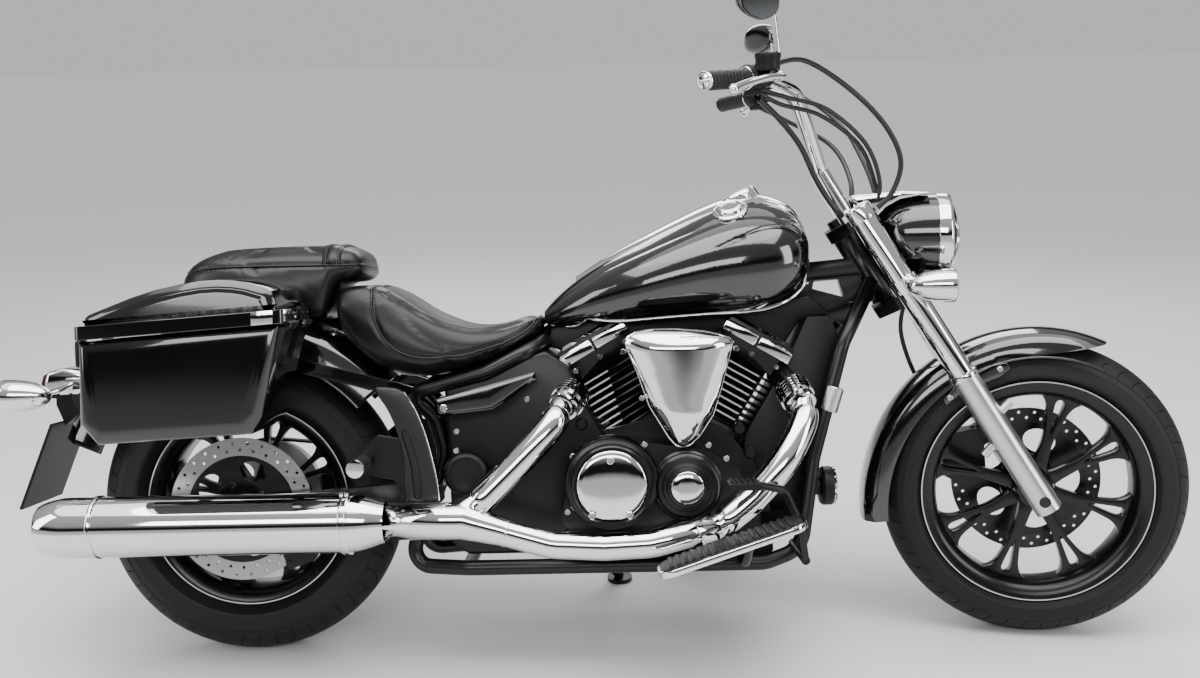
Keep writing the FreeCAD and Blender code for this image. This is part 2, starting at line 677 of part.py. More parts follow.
def silencer():
    front = SILENCER_FRONT
    rear = SILENCER_REAR
    centre = vec(0, SILENCER_Y, SILENCER_Z)

    def at(x):
        return centre + vec(x, 0, 0)

    inlet = cone(at(front + 80), at(front + 10), MUFFLER_PIPE_RADIUS + 4, SILENCER_RADIUS)
    body = rod(at(front + 10), at(rear + 60), SILENCER_RADIUS)
    clamp = rod(at(front - 2), at(front + 14), SILENCER_RADIUS + 4)
    ring = rod(at(rear + 112), at(rear + 122), SILENCER_RADIUS + 3)
    tail = cone(at(rear + 60), at(rear), SILENCER_RADIUS, SILENCER_RADIUS - 16)
    whole = fuse([inlet, body, clamp, ring, tail])
    return whole.cut(rod(at(rear - 1), at(rear + 90), 22))


TANK_SECTIONS = [
    # x, bottom z, bottom half width, widest z, widest half width, top z
    (636, 684, 24, 702, 38, 722),
    (760, 694, 78, 742, 116, 820),
    (884, 704, 100, 772, 156, 886),
    (1000, 710, 104, 788, 168, 938),
    (1100, 718, 94, 796, 158, 954),
    (1168, 748, 76, 812, 128, 926),
    (1196, 790, 44, 826, 80, 880),
]


def tank_wire(x, z0, b, zm, w, zt):
    shoulder = zm + 0.72 * (zt - zm)
    s = 0.66 * w
    right = Part.Arc(vec(x, -b, z0), vec(x, -w, zm), vec(x, -s, shoulder)).toShape()
    top = Part.Arc(vec(x, -s, shoulder), vec(x, 0, zt), vec(x, s, shoulder)).toShape()
    left = Part.Arc(vec(x, s, shoulder), vec(x, w, zm), vec(x, b, z0)).toShape()
    floor = Part.LineSegment(vec(x, b, z0), vec(x, -b, z0)).toShape()
    return Part.Wire([right, top, left, floor])


def fuel_tank():
    body = Part.makeLoft([tank_wire(*row) for row in TANK_SECTIONS], True, False)
    tunnel = plate([(600, 600), (600, 668), (640, 694), (764, 775), (790, 779.3), (1250, 818.4), (1250, 600)],
                   -44, 44)
    head_room = plate([(640, 600), (640, 650), (720, 700), (772, 738), (1060, 738), (1110, 700), (1190, 650),
                       (1190, 600)], -92, 92)
    return body.cut(tunnel).cut(head_room)


def tank_console(tank):
    spine = [(700, 760), (750, 806), (847, 868), (979, 934), (1079, 962), (1130, 950), (1165, 925), (1190, 888),
             (1150, 880), (1079, 900), (979, 880), (847, 820), (750, 770)]
    strip = plate(spine, -34, 34).cut(tank)
    strip = max(strip.Solids, key=lambda solid: solid.CenterOfMass.z)
    dial = rod(vec(1056, 0, 940), vec(1040, 0, 972), 46).cut(tank).cut(strip)
    dial = max(dial.Solids, key=lambda solid: solid.CenterOfMass.z)
    cap = rod(vec(1030, -84, 880), vec(1026, -98, 924), 34).cut(tank).cut(strip)
    cap = max(cap.Solids, key=lambda solid: solid.CenterOfMass.z)
    return Part.makeCompound([fuse([strip, dial]), cap])


def side_covers(carriers):
    """Wedge under the seat and the column below it, let in round the frame and the strut."""
    depth = -UPRIGHT_Y - TUBE_RADIUS
    wedge = plate([(415, 546), (418, 512), (534, 520), (622, 584), (622, 602), (520, 572)], depth, -176)
    column = plate([(330, 540), (366, 560), (393, 484), (414, 404), (416, 396), (372, 396), (362, 450),
                    (348, 500)], depth, -178)
    skin = plate([(306, 574), (356, 564), (393, 484), (414, 404), (424, 342), (352, 342), (354, 430),
                  (336, 500)], -178, -184)
    link = plate([(374, 540), (420, 546), (420, 512), (395, 500)], depth, -170)
    cover = fuse([wedge, column, skin, link]).cut(carriers)
    return pair(max(cover.Solids, key=lambda solid: solid.Volume))


def seat_section(x, z0, half_low, z1, half_top):
    corners = [vec(x, -half_low, z0), vec(x, -half_top - 8, z1 - 24), vec(x, -half_top + 14, z1),
               vec(x, half_top - 14, z1), vec(x, half_top + 8, z1 - 24), vec(x, half_low, z0)]
    return Part.makePolygon(corners + corners[:1])


RIDER_SECTIONS = [
    # x, bottom z, bottom half width, top z, top half width
    (216, 700, 120, 778, 126),
    (262, 650, 150, 796, 132),
    (320, 604, 166, 770, 150),
    (390, 600, 168, 716, 156),
    (480, 618, 160, 686, 148),
    (570, 652, 110, 698, 100),
    (632, 685, 60, 722, 50),
]


def rider_seat():
    body = Part.makeLoft([seat_section(*row) for row in RIDER_SECTIONS], True, True)
    return body.cut(disc(0, REAR_AXLE.z, FENDER_OUTER + SEAT_GAP, -112, 112))


PILLION_SECTIONS = [
    (-128, 740, 70, 796, 60),
    (-70, 716, 110, 846, 92),
    (44, 716, 128, 862, 108),
    (224, 716, 122, 858, 102),
    (262, 760, 96, 840, 78),
]


def passenger_seat(rider):
    body = Part.makeLoft([seat_section(*row) for row in PILLION_SECTIONS], True, True)
    gap = plate([(190, 600), (190, 800), (300, 812), (320, 600)], -180, 180)
    body = body.cut(gap)
    return body.cut(disc(0, REAR_AXLE.z, FENDER_OUTER + SEAT_GAP, -112, 112))


def rear_fender():
    profile = fender_profile(FENDER_OUTER, FENDER_HALF, 26, FENDER_SKIRT, FENDER_WALL)
    return spin(profile, REAR_AXLE, 118, 40)


def bag_rails(frame_shape):
    """Fender strut on each side, bolted to the seat rail, with two arms out to the bag."""
    strut = plate([(362, 540), (374, 566), (318, 584), (100, 640), (-340, 600), (-345, 578), (95, 612),
                   (300, 560)], -FENDER_HALF - 8, -FENDER_HALF)
    arms = [box(x - 12, x + 12, -BAG_INNER_Y, -FENDER_HALF - 8, 606, 630) for x in (-120, 90)]
    side = fuse([strut] + arms).cut(frame_shape)
    return pair(max(side.Solids, key=lambda solid: solid.Volume))


BAG_OUTLINE = [(-206, 688), (-209, 535), (-178, 497), (108, 512), (128, 545), (166, 713)]
LID_OUTLINE = [(-211, 689), (176, 715), (176, 742), (160, 750), (152, 778), (107, 793), (56, 800), (-14, 793),
               (-109, 767), (-190, 736), (-211, 716)]


HINGE_X = 181.5
HINGE_Z = 714.0
KNUCKLE_RADIUS = 5.0
HINGE_PIN_RADIUS = 2.5
KNUCKLES = [
    # outer y and inner y of each knuckle of one hinge, from outside in: bag, lid, bag
    (-388, -372),
    (-371.5, -348.5),
    (-348, -332),
]
HINGE_SHIFT = 110.0


def knuckle(index, radius, shift):
    outer, inner = KNUCKLES[index]
    return disc(HINGE_X, HINGE_Z, radius, outer + shift, inner + shift)


def bag_hinge(shift):
    """Lower leaf with its two knuckles and the pin that they hold."""
    leaf = plate([(148, 645), (163, 712), (HINGE_X - 1, HINGE_Z - 4), (HINGE_X - 6, HINGE_Z - 7), (157, 645)],
                 KNUCKLES[0][0] + shift, KNUCKLES[2][1] + shift)
    room = knuckle(1, KNUCKLE_RADIUS + SEAT_GAP, shift)
    pin = disc(HINGE_X, HINGE_Z, HINGE_PIN_RADIUS, KNUCKLES[0][0] + shift, KNUCKLES[2][1] + shift)
    outer = knuckle(0, KNUCKLE_RADIUS, shift)
    inner = knuckle(2, KNUCKLE_RADIUS, shift)
    return fuse([leaf.cut(room), outer, inner, pin])


def lid_hinge(shift):
    """Upper leaf and the middle knuckle that turns on the pin."""
    outer, inner = KNUCKLES[1]
    leaf = plate([(176, HINGE_Z + 3), (176, 740), (178, 740), (178, HINGE_Z + 6), (HINGE_X + 2, HINGE_Z + 4),
                  (HINGE_X - 1, HINGE_Z + 3)], outer + shift, inner + shift)
    face = plate([(176, 721), (176, 740), (178, 740), (178, 721)], KNUCKLES[0][0] + shift, KNUCKLES[2][1] + shift)
    whole = fuse([leaf, face, knuckle(1, KNUCKLE_RADIUS, shift)])
    bore = disc(HINGE_X, HINGE_Z, HINGE_PIN_RADIUS + RUNNING_GAP, KNUCKLES[0][0] + shift, KNUCKLES[2][1] + shift)
    return whole.cut(bore)


def saddlebag():
    outer = plate(BAG_OUTLINE, -BAG_OUTER_Y + 6, -BAG_INNER_Y)
    cavity = face_xz(BAG_OUTLINE, -BAG_OUTER_Y + 6 + BAG_WALL).makeOffset2D(-BAG_WALL)
    cavity = cavity.extrude(vec(0, BAG_OUTER_Y - 6 - BAG_INNER_Y - 2 * BAG_WALL, 0))
    mouth = cavity.copy()
    mouth.translate(vec(0, 0, BAG_WALL + 3))
    case = outer.cut(cavity).cut(mouth)
    return fuse([case, bag_hinge(0), bag_hinge(HINGE_SHIFT)])


def bag_lid():
    outer = plate(LID_OUTLINE, -BAG_OUTER_Y, -BAG_INNER_Y)
    cavity = face_xz(LID_OUTLINE, -BAG_OUTER_Y + BAG_WALL).makeOffset2D(-BAG_WALL)
    cavity = cavity.extrude(vec(0, BAG_OUTER_Y - BAG_INNER_Y - 2 * BAG_WALL, 0))
    mouth = cavity.copy()
    mouth.translate(vec(0, 0, -BAG_WALL - 3))
    lid = outer.cut(cavity).cut(mouth)
    lid.translate(vec(0, 0, LID_GAP))
    return fuse([lid, lid_hinge(0), lid_hinge(HINGE_SHIFT)])


def rear_lamps():
    lamp = bullet(vec(-348, -200, 574), 94, 34, vec(1, 0, 0))
    stalk = rod(vec(-400, -190, 572), vec(-405, -50, 566), 8)
    whole = fuse([lamp, stalk])
    stop = plate([(-300, 598), (-328, 560), (-430, 560), (-436, 600), (-428, 640), (-388, 640),
                  (-340, 624)], -58, 58)
    stop = stop.cut(disc(REAR_AXLE.x, REAR_AXLE.z, FENDER_OUTER + SEAT_GAP, -60, 60))
    return fuse([whole, mirror(whole), stop])


def plate_holder():
    board = plate([(-396, 504), (-402, 506), (-474, 327), (-468, 325)], -95, 95)
    arm = plate([(-380, 560), (-366, 520), (-394, 496), (-412, 540), (-412, 560)], -40, 40)
    return fuse([board, arm])


def swingarm():
    arm = plate([(-34, 340), (-36, 306), (-20, 298), (120, 306), (340, 318), (412, 324), (428, 342), (426, 368),
                 (404, 382), (200, 366), (20, 350)], -136, -162)
    cross = rod(vec(354, -136, 342), vec(354, 136, 342), 15)
    whole = fuse([arm, mirror(arm), cross])
    whole = whole.cut(disc(0, REAR_AXLE.z, AXLE_RADIUS, -200, 200))
    return whole.cut(disc(PIVOT[0], PIVOT[1], PIVOT_RADIUS, -200, 200))


def pivot_bolt():
    shaft = disc(PIVOT[0], PIVOT[1], PIVOT_RADIUS, -170, 170)
    nut = disc(PIVOT[0], PIVOT[1], PIVOT_RADIUS + 8, -170, -162)
    spacer = disc(PIVOT[0], PIVOT[1], PIVOT_RADIUS + 4, -136, -UPRIGHT_Y - TUBE_RADIUS)
    return fuse([shaft, nut, mirror(nut), spacer, mirror(spacer)])


def rear_axle():
    shaft = disc(0, 0, AXLE_RADIUS, -169, 169)
    nut = disc(0, 0, 18, 162, 168)
    spacer_right = disc(0, 0, 17, -136, -HUB_LENGTH / 2 - SEAT_GAP)
    spacer_left = disc(0, 0, 17, 136, 130 + SEAT_GAP)
    whole = fuse([shaft, nut, mirror(nut), spacer_right, spacer_left])
    whole.translate(REAR_AXLE)
    return Part.makeCompound([whole, pivot_bolt()])


BELT_FRONT = (640.0, 330.0, 44.0)


def belt_loop(grow, y0=104, y1=128):
    """Outline of the belt's run round both pulleys, as a filled prism."""
    fx, fz, fr = BELT_FRONT
    rear = disc(REAR_AXLE.x, REAR_AXLE.z, 115 + grow, y0, y1)
    front = disc(fx, fz, fr + grow, y0, y1)
    dx = fx - REAR_AXLE.x
    dz = fz - REAR_AXLE.z
    length = math.hypot(dx, dz)
    tilt = math.asin((115 - fr) / length)
    heading = math.atan2(dz, dx)
    corners = []
    for side, centre, radius in ((1, REAR_AXLE, 115), (1, vec(fx, 0, fz), fr),
                                 (-1, vec(fx, 0, fz), fr), (-1, REAR_AXLE, 115)):
        angle = heading + side * (math.pi / 2 - tilt)
        corners.append((centre.x + (radius + grow) * math.cos(angle), centre.z + (radius + grow) * math.sin(angle)))
    return fuse([rear, front, plate(corners, y0, y1)])


def drive_belt():
    return belt_loop(6).cut(belt_loop(SEAT_GAP))


def rear_caliper():
    body = plate([(78, 250), (150, 300), (178, 268), (150, 214), (100, 196)], -96, -131)
    slot = disc(REAR_AXLE.x, REAR_AXLE.z, REAR_DISC_RADIUS + 5, REAR_DISC_Y - 7.5, REAR_DISC_Y + 7.5)
    body = body.cut(slot)
    lug = plate([(92, 262), (150, 296), (150, 334), (98, 334)], -131, -136)
    return fuse([max(body.Solids, key=lambda solid: solid.Volume), lug])


BOARD_INNER = 270.0
BOARD_OUTER = 374.0


def floorboards(frame_shape):
    board = plate([(858, 214), (852, 232), (1134, 326), (1150, 318), (1146, 306)], -BOARD_OUTER, -BOARD_INNER)
    arms = [pipe([(x, -RAIL_Y, LOWER_RAIL_Z), (x, -200, LOWER_RAIL_Z + 6), (x, -BOARD_INNER - 12, z)], 9, 20)
            for x, z in ((930, 238), (1040, 274))]
    return pair(fuse([board] + arms)).cut(frame_shape)


def passenger_pegs():
    bracket = plate([(250, 440), (262, 400), (330, 386), (392, 336), (416, 340), (418, 372), (350, 470),
                     (300, 480)], -170, -178)
    peg = rod(vec(276, -178, 428), vec(270, -266, 424), 15)
    whole = fuse([bracket, peg])
    return pair(whole)


def foot_controls(frame_shape):
    """Brake pedal on the right and gear lever on the left, each on a shaft from the frame."""
    shaft = rod(vec(1150, -100, 226), vec(1150, -262, 226), 9)
    arm = pipe([(1150, -256, 226), (1140, -256, 300), (1110, -258, 366), (1050, -290, 384)], 8, 30)
    pad = box(996, 1056, -330, -270, 378, 390)
    brake = fuse([shaft, arm, pad]).cut(frame_shape)
    toe = pipe([(1150, 256, 226), (1140, 256, 290), (1100, 262, 336), (1066, 330, 350)], 8, 30)
    gear = fuse([mirror(shaft), toe]).cut(frame_shape)
    return Part.makeCompound([max(brake.Solids, key=lambda solid: solid.Volume),
                              max(gear.Solids, key=lambda solid: solid.Volume)])


def horn(frame_shape):
    """Disc horn that faces forward, on the cross tube between the down tubes."""
    body = rod(vec(1222, -10, HORN_Z), vec(1262, -10, HORN_Z), 42)
    back = rod(vec(HORN_TUBE_X, -10, HORN_Z), vec(1222, -10, HORN_Z), 20).cut(frame_shape)
    return fuse([body, max(back.Solids, key=lambda solid: solid.CenterOfMass.x)])


# Side stand

def stand():
    """Leg with a flat eye round the hinge pin and a foot that lies flush on the floor."""
    foot = floor_point(*STAND_FOOT)
    pivot = vec(*STAND_PIVOT)
    axis = stand_axis()
    heel = stand_heel()
    along = heel - pivot
    along.normalize()
    half = STAND_EYE_THICKNESS / 2
    across = axis.cross(along) * 13
    corners = [pivot - axis * half + across, pivot - axis * half + across + along * 52,
               pivot - axis * half - across + along * 52, pivot - axis * half - across]
    neck = Part.Face(Part.makePolygon(corners + corners[:1])).extrude(axis * STAND_EYE_THICKNESS)
    eye = rod(pivot - axis * half, pivot + axis * half, STAND_EYE_RADIUS)
    leg = rod(pivot + along * 40, heel, STAND_RADIUS)
    pad = rod(foot, foot + FLOOR_NORMAL * 10, 30)
    whole = fuse([eye, neck, leg, pad])
    return whole.cut(rod(pivot - axis * 20, pivot + axis * 20, STAND_PIN_RADIUS + RUNNING_GAP))


# Stance: steer the fork, lean the bike, level both tyres on the floor

def steer_turn():
    return FreeCAD.Placement(ORIGIN, FreeCAD.Rotation(STEER_AXIS, STEER_REST), STEER_FOOT)


def lowest(centre, axle_direction, radius, width):
    """Height of the lowest point of a tyre with a round crown."""
    flat = math.sqrt(1 - axle_direction.z ** 2)
    return centre.z - (radius - width / 2) * flat - width / 2


def find_stance():
    lean = FreeCAD.Placement(ORIGIN, FreeCAD.Rotation(vec(1, 0, 0), -LEAN))
    turn = steer_turn()
    pitch = 0.0
    for step in range(6):
        tip = FreeCAD.Placement(ORIGIN, FreeCAD.Rotation(LEFT, pitch)).multiply(lean)
        rear = lowest(tip.multVec(REAR_AXLE), tip.Rotation.multVec(LEFT), REAR_TYRE_RADIUS, REAR_TYRE_WIDTH)
        steered = tip.multiply(turn)
        front = lowest(steered.multVec(FRONT_AXLE), steered.Rotation.multVec(LEFT),
                       FRONT_TYRE_RADIUS, FRONT_TYRE_WIDTH)
        pitch += math.degrees(math.atan2(front - rear, WHEELBASE))
    middle = (tip.multVec(REAR_AXLE).x + steered.multVec(FRONT_AXLE).x) / 2
    return FreeCAD.Placement(vec(-middle, 0, -rear), FreeCAD.Rotation()).multiply(tip)


STANCE = find_stance()
FLOOR_NORMAL = STANCE.inverse().Rotation.multVec(UP)


def floor_point(x, y):
    """Point of the bike's own coordinates that lies on the floor once the bike is parked."""
    z = -FLOOR_NORMAL.y * y / FLOOR_NORMAL.z
    for step in range(4):
        z -= STANCE.multVec(vec(x, y, z)).z / FLOOR_NORMAL.z
    return vec(x, y, z)


def build():
    legs = fork_legs()
    bar = handlebar()
    clamps = yokes(legs)
    riser = risers(bar, clamps)
    control = hand_control(bar)
    tank = fuel_tank()
    both_cylinders = Part.makeCompound([cylinder(-BANK_ANGLE), cylinder(BANK_ANGLE)])
    rockers = rocker_covers()
    top_end = Part.makeCompound([both_cylinders, rockers])
    rider = rider_seat()
    controls = Part.makeCompound([control, mirror(control), master_cylinder(control)])
    mirrors = pair(mirror_set().cut(bar))
    caliper = front_caliper(legs)
    chassis_frame = frame()
    muffler = silencer()
    rails = bag_rails(chassis_frame)
    pegs = passenger_pegs()
    rear_shaft = rear_axle()
    nodes = {
        "frame": ("chassis", chassis_frame),
        "engine_cases": ("chassis", engine_cases(both_cylinders)),
        "cylinders": ("chassis", both_cylinders),
        "rocker_covers": ("chassis", rockers),
        "engine_covers": ("chassis", engine_covers()),
        "air_cleaner": ("chassis", air_cleaner(both_cylinders)),
        "exhaust_pipes": ("chassis", exhaust_pipes(top_end).cut(muffler)),
        "silencer": ("chassis", muffler),
        "fuel_tank": ("chassis", tank),
        "tank_console": ("chassis", tank_console(tank)),
        "side_covers": ("chassis", side_covers(Part.makeCompound([chassis_frame, rails, pegs, rear_shaft]))),
        "rider_seat": ("chassis", rider),
        "passenger_seat": ("chassis", passenger_seat(rider)),
        "rear_fender": ("chassis", rear_fender()),
        "bag_rails": ("chassis", rails),
        "saddlebags": ("chassis", pair(saddlebag())),
        "rear_lamps": ("chassis", rear_lamps()),
        "plate_holder": ("chassis", plate_holder()),
        "swingarm": ("chassis", swingarm()),
        "rear_axle": ("chassis", rear_shaft),
        "drive_belt": ("chassis", drive_belt()),
        "rear_caliper": ("chassis", rear_caliper()),
        "floorboards": ("chassis", floorboards(chassis_frame)),
        "passenger_pegs": ("chassis", pegs),
        "foot_controls": ("chassis", foot_controls(chassis_frame)),
        "horn": ("chassis", horn(chassis_frame)),
        "yokes": ("steering", clamps),
        "fork_legs": ("steering", legs),
        "front_axle": ("steering", front_axle()),
        "front_fender": ("steering", front_fender(legs)),
        "headlamp": ("steering", headlamp()),
        "headlamp_lens": ("steering", headlamp_lens()),
        "front_signals": ("steering", front_signals(legs)),
        "handlebar": ("steering", Part.makeCompound([bar, riser, mirror(riser)])),
        "grips": ("steering", pair(grip(bar))),
        "hand_controls": ("steering", controls),
        "mirrors": ("steering", mirrors),
        "control_cables": ("steering", control_cables(Part.makeCompound([controls, mirrors, clamps, caliper]))),
        "front_caliper": ("steering", caliper),
        "front_rim": ("front_wheel", rim(FRONT_AXLE, FRONT_BEAD_RADIUS, FRONT_BEAD_WIDTH,
                                         FRONT_WINDOW_RADIUS, HUB_LENGTH)),
        "front_tyre": ("front_wheel", tyre(FRONT_AXLE, FRONT_TYRE_RADIUS, FRONT_TYRE_WIDTH,
                                           FRONT_BEAD_RADIUS, FRONT_BEAD_WIDTH)),
        "front_disc": ("front_wheel", brake_disc(FRONT_AXLE, FRONT_DISC_RADIUS, FRONT_DISC_INNER,
                                                 FRONT_DISC_Y, HUB_LENGTH / 2)),
        "rear_rim": ("rear_wheel", rim(REAR_AXLE, REAR_BEAD_RADIUS, REAR_BEAD_WIDTH,
                                       REAR_WINDOW_RADIUS, HUB_LENGTH)),
        "rear_tyre": ("rear_wheel", tyre(REAR_AXLE, REAR_TYRE_RADIUS, REAR_TYRE_WIDTH,
                                         REAR_BEAD_RADIUS, REAR_BEAD_WIDTH)),
        "rear_disc": ("rear_wheel", brake_disc(REAR_AXLE, REAR_DISC_RADIUS, REAR_DISC_INNER,
                                               REAR_DISC_Y, -HUB_LENGTH / 2)),
        "rear_pulley": ("rear_wheel", rear_pulley(REAR_AXLE)),
        "side_stand": ("side_stand", stand()),
        "lid_right": ("lid_right", bag_lid()),
        "lid_left": ("lid_left", mirror(bag_lid())),
    }
    return nodes


def place(body, shape):
    placed = shape.copy()
    placement = STANCE
    if body in ("steering", "front_wheel"):
        placement = STANCE.multiply(steer_turn())
    placed.Placement = placement.multiply(placed.Placement)
    return placed


def main():
    os.makedirs("parts", exist_ok=True)
    for name, (body, shape) in build().items():
        placed = place(body, shape)
        placed.exportStep("parts/" + name + ".step")
        print(name, body, len(placed.Solids), round(placed.Volume / 1000), placed.isValid())


main()
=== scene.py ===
# %% [markdown]
# # A cruiser motorcycle, dressed for its portrait
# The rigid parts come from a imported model: frame, engine, tank, wheels, bags. This lesson gives
# them their finishes and adds what only shows close up, such as tread, stitching and bolts.
# Loading the frame first means that every later piece has something real to sit on.

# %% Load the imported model
import json
import math

import bmesh
import bpy
from mathutils import Matrix, Vector
from mathutils.bvhtree import BVHTree
from mathutils.kdtree import KDTree


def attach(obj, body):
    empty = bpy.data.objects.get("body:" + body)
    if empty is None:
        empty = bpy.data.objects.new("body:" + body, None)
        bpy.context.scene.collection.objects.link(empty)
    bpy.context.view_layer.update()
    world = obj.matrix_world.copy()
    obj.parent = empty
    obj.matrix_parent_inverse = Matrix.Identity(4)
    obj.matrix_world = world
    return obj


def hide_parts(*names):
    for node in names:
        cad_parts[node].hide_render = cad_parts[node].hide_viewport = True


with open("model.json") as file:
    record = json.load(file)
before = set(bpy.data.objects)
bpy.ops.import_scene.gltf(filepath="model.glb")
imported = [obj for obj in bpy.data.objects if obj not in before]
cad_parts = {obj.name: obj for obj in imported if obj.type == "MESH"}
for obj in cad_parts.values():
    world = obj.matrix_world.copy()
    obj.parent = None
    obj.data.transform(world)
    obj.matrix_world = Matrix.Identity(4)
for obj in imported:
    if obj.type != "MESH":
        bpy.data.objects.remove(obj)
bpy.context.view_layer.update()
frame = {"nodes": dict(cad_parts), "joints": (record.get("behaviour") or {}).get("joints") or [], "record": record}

# %% [markdown]
# ## Drawing upright on a bike that leans
# The motorcycle rests on its side stand with its fork turned a little. Nobody draws a leaning
# bike: a maker draws it upright and leans the drawing. The axles and the steering axis in the
# frame say exactly how far it leans, so two matrices are worked out from them. `BIKE` places
# what is fixed to the chassis, `FORK` what turns with the steering. Both take millimetres with
# X forward from the rear axle, Y to the rider's left and Z up from the ground. The numbers in the
# outlines below are such millimetres, measured in the photograph or usual for the type.

# %% Matrices from the axles
RAKE = math.radians(32.0)
WHEELBASE = 1685.0
REAR_AXLE = Vector((0.0, 0.0, 322.0))
FRONT_AXLE = Vector((WHEELBASE, 0.0, 320.0))
FORK_FOOT = Vector((1830.0, 0.0, 0.0))
STEER_AXIS = Vector((-math.sin(RAKE), 0.0, math.cos(RAKE)))
STEER_AHEAD = Vector((math.cos(RAKE), 0.0, math.sin(RAKE)))
LEGS_AHEAD = 46.6
joints = {joint["name"]: joint for joint in frame["joints"]}


def drawing_board(axle_joint, axle_point):
    """Matrix from upright millimetres to the parked bike, from one axle and the steering axis."""
    left = Vector(joints[axle_joint]["axis"]).normalized()
    steer = Vector(joints["steering_turn"]["axis"]).normalized()
    ahead = left.cross(steer)
    forward = ahead * math.cos(RAKE) - steer * math.sin(RAKE)
    up = ahead * math.sin(RAKE) + steer * math.cos(RAKE)
    turn = Matrix((forward, left, up)).transposed().to_4x4()
    here = Matrix.Translation(Vector(joints[axle_joint]["pos_m"]))
    return here @ turn @ Matrix.Scale(0.001, 4) @ Matrix.Translation(-axle_point)


BIKE = drawing_board("rear_wheel_spin", REAR_AXLE)
FORK = drawing_board("front_wheel_spin", FRONT_AXLE)
print("front axle by each board:", [round(c, 4) for c in BIKE @ FRONT_AXLE],
      [round(c, 4) for c in FORK @ FRONT_AXLE])


def on_fork(s, y):
    """Point s up the steering axis, y to the left and as far ahead of that axis as the legs are."""
    return FORK_FOOT + STEER_AXIS * s + STEER_AHEAD * LEGS_AHEAD + Vector((0, y, 0))

# %% [markdown]
# ## Colours and nodes
# Colours are given as screen hex values, but shaders add up light, so each one is turned
# from sRGB to linear first. One small function adds a node, sets it and links it: that keeps
# each recipe as short as it would be in the node editor.


def hex_colour(code):
    """Linear colour of a screen hex value."""
    channels = [int(code[i:i + 2], 16) / 255 for i in (0, 2, 4)]
    linear = [c / 12.92 if c <= 0.04045 else ((c + 0.055) / 1.055) ** 2.4 for c in channels]
    return (*linear, 1.0)


def add(material, kind, settings=(), links=()):
    """Add a node, set its inputs or properties, and link its inputs to other nodes' outputs."""
    node = material.node_tree.nodes.new(kind)
    for key, value in dict(settings).items():
        if key in node.inputs:
            node.inputs[key].default_value = value
        else:
            setattr(node, key, value)
    for key, source in dict(links).items():
        material.node_tree.links.new(source, node.inputs[key])
    return node


def finish(name, slot, colour, roughness, metallic=0.0, **more):
    """A material with one Principled shader; the slot argument is not used."""
    material = bpy.data.materials.new(name)
    material.use_nodes = True
    shader = material.node_tree.nodes["Principled BSDF"]
    shader.inputs["Base Color"].default_value = hex_colour(colour)
    shader.inputs["Roughness"].default_value = roughness
    shader.inputs["Metallic"].default_value = metallic
    for key, value in more.items():
        shader.inputs[key.replace("_", " ")].default_value = value
    return material, shader


def grain(material, shader, size_mm, height_mm, kind="ShaderNodeTexNoise", bump=0.5):
    """Surface texture of a real size, as bump on Object coordinates."""
    where = add(material, "ShaderNodeTexCoord")
    scale = 1000.0 / size_mm
    noise = kind == "ShaderNodeTexNoise"
    settings = {"Scale": scale, "Detail": 3.0} if noise else {"Scale": scale}
    pattern = add(material, kind, settings, {"Vector": where.outputs["Object"]})
    height = pattern.outputs["Fac" if noise else "Distance"]
    rise = add(material, "ShaderNodeBump", {"Strength": bump, "Distance": height_mm / 1000.0},
               {"Height": height})
    material.node_tree.links.new(rise.outputs["Normal"], shader.inputs["Normal"])


def cloudy(material, shader, size_mm, low, high):
    """Slow change of roughness over the surface, as wiping and handling leave it."""
    where = add(material, "ShaderNodeTexCoord")
    cloud = add(material, "ShaderNodeTexNoise", {"Scale": 1000.0 / size_mm, "Detail": 2.0},
                {"Vector": where.outputs["Object"]})
    spread = add(material, "ShaderNodeMapRange", {"To Min": low, "To Max": high},
                 {"Value": cloud.outputs["Fac"]})
    material.node_tree.links.new(spread.outputs["Result"], shader.inputs["Roughness"])

# %% [markdown]
# ## The finishes of a cruiser
# Chrome plate is a perfect mirror with a trace of wiping marks. The paint is black two-pack
# lacquer under clear coat, so it mirrors almost as well. Frame tubes are powder coated, which
# leaves a fine orange peel. The wheels are cast aluminium in black enamel. Fork sliders are
# clear-coated aluminium, softly brushed. Each starts from typical values for what it is.

# %% Metals
chrome, s = finish("chrome plate", "chrome", "E4E5E6", 0.04, 1.0)
cloudy(chrome, s, 60, 0.03, 0.075)
satin_aluminium, s = finish("satin aluminium", "aluminium", "C9CACC", 0.3, 1.0)
cloudy(satin_aluminium, s, 25, 0.27, 0.36)
disc_steel, s = finish("ground stainless steel", "steel", "A9AAAC", 0.28, 1.0)
grain(disc_steel, s, 1.2, 0.02, bump=0.25)
# Darker copy of the disc steel: on the front disc its dark tone is partly painted shade.
dark_steel, s = finish("dark steel with painted shade", "steel", "3A3A3C", 0.34, 1.0)
grain(dark_steel, s, 1.2, 0.02, bump=0.25)
axle_steel, s = finish("zinc-plated steel", "steel", "8F9193", 0.35, 1.0)
cloudy(axle_steel, s, 12, 0.3, 0.45)

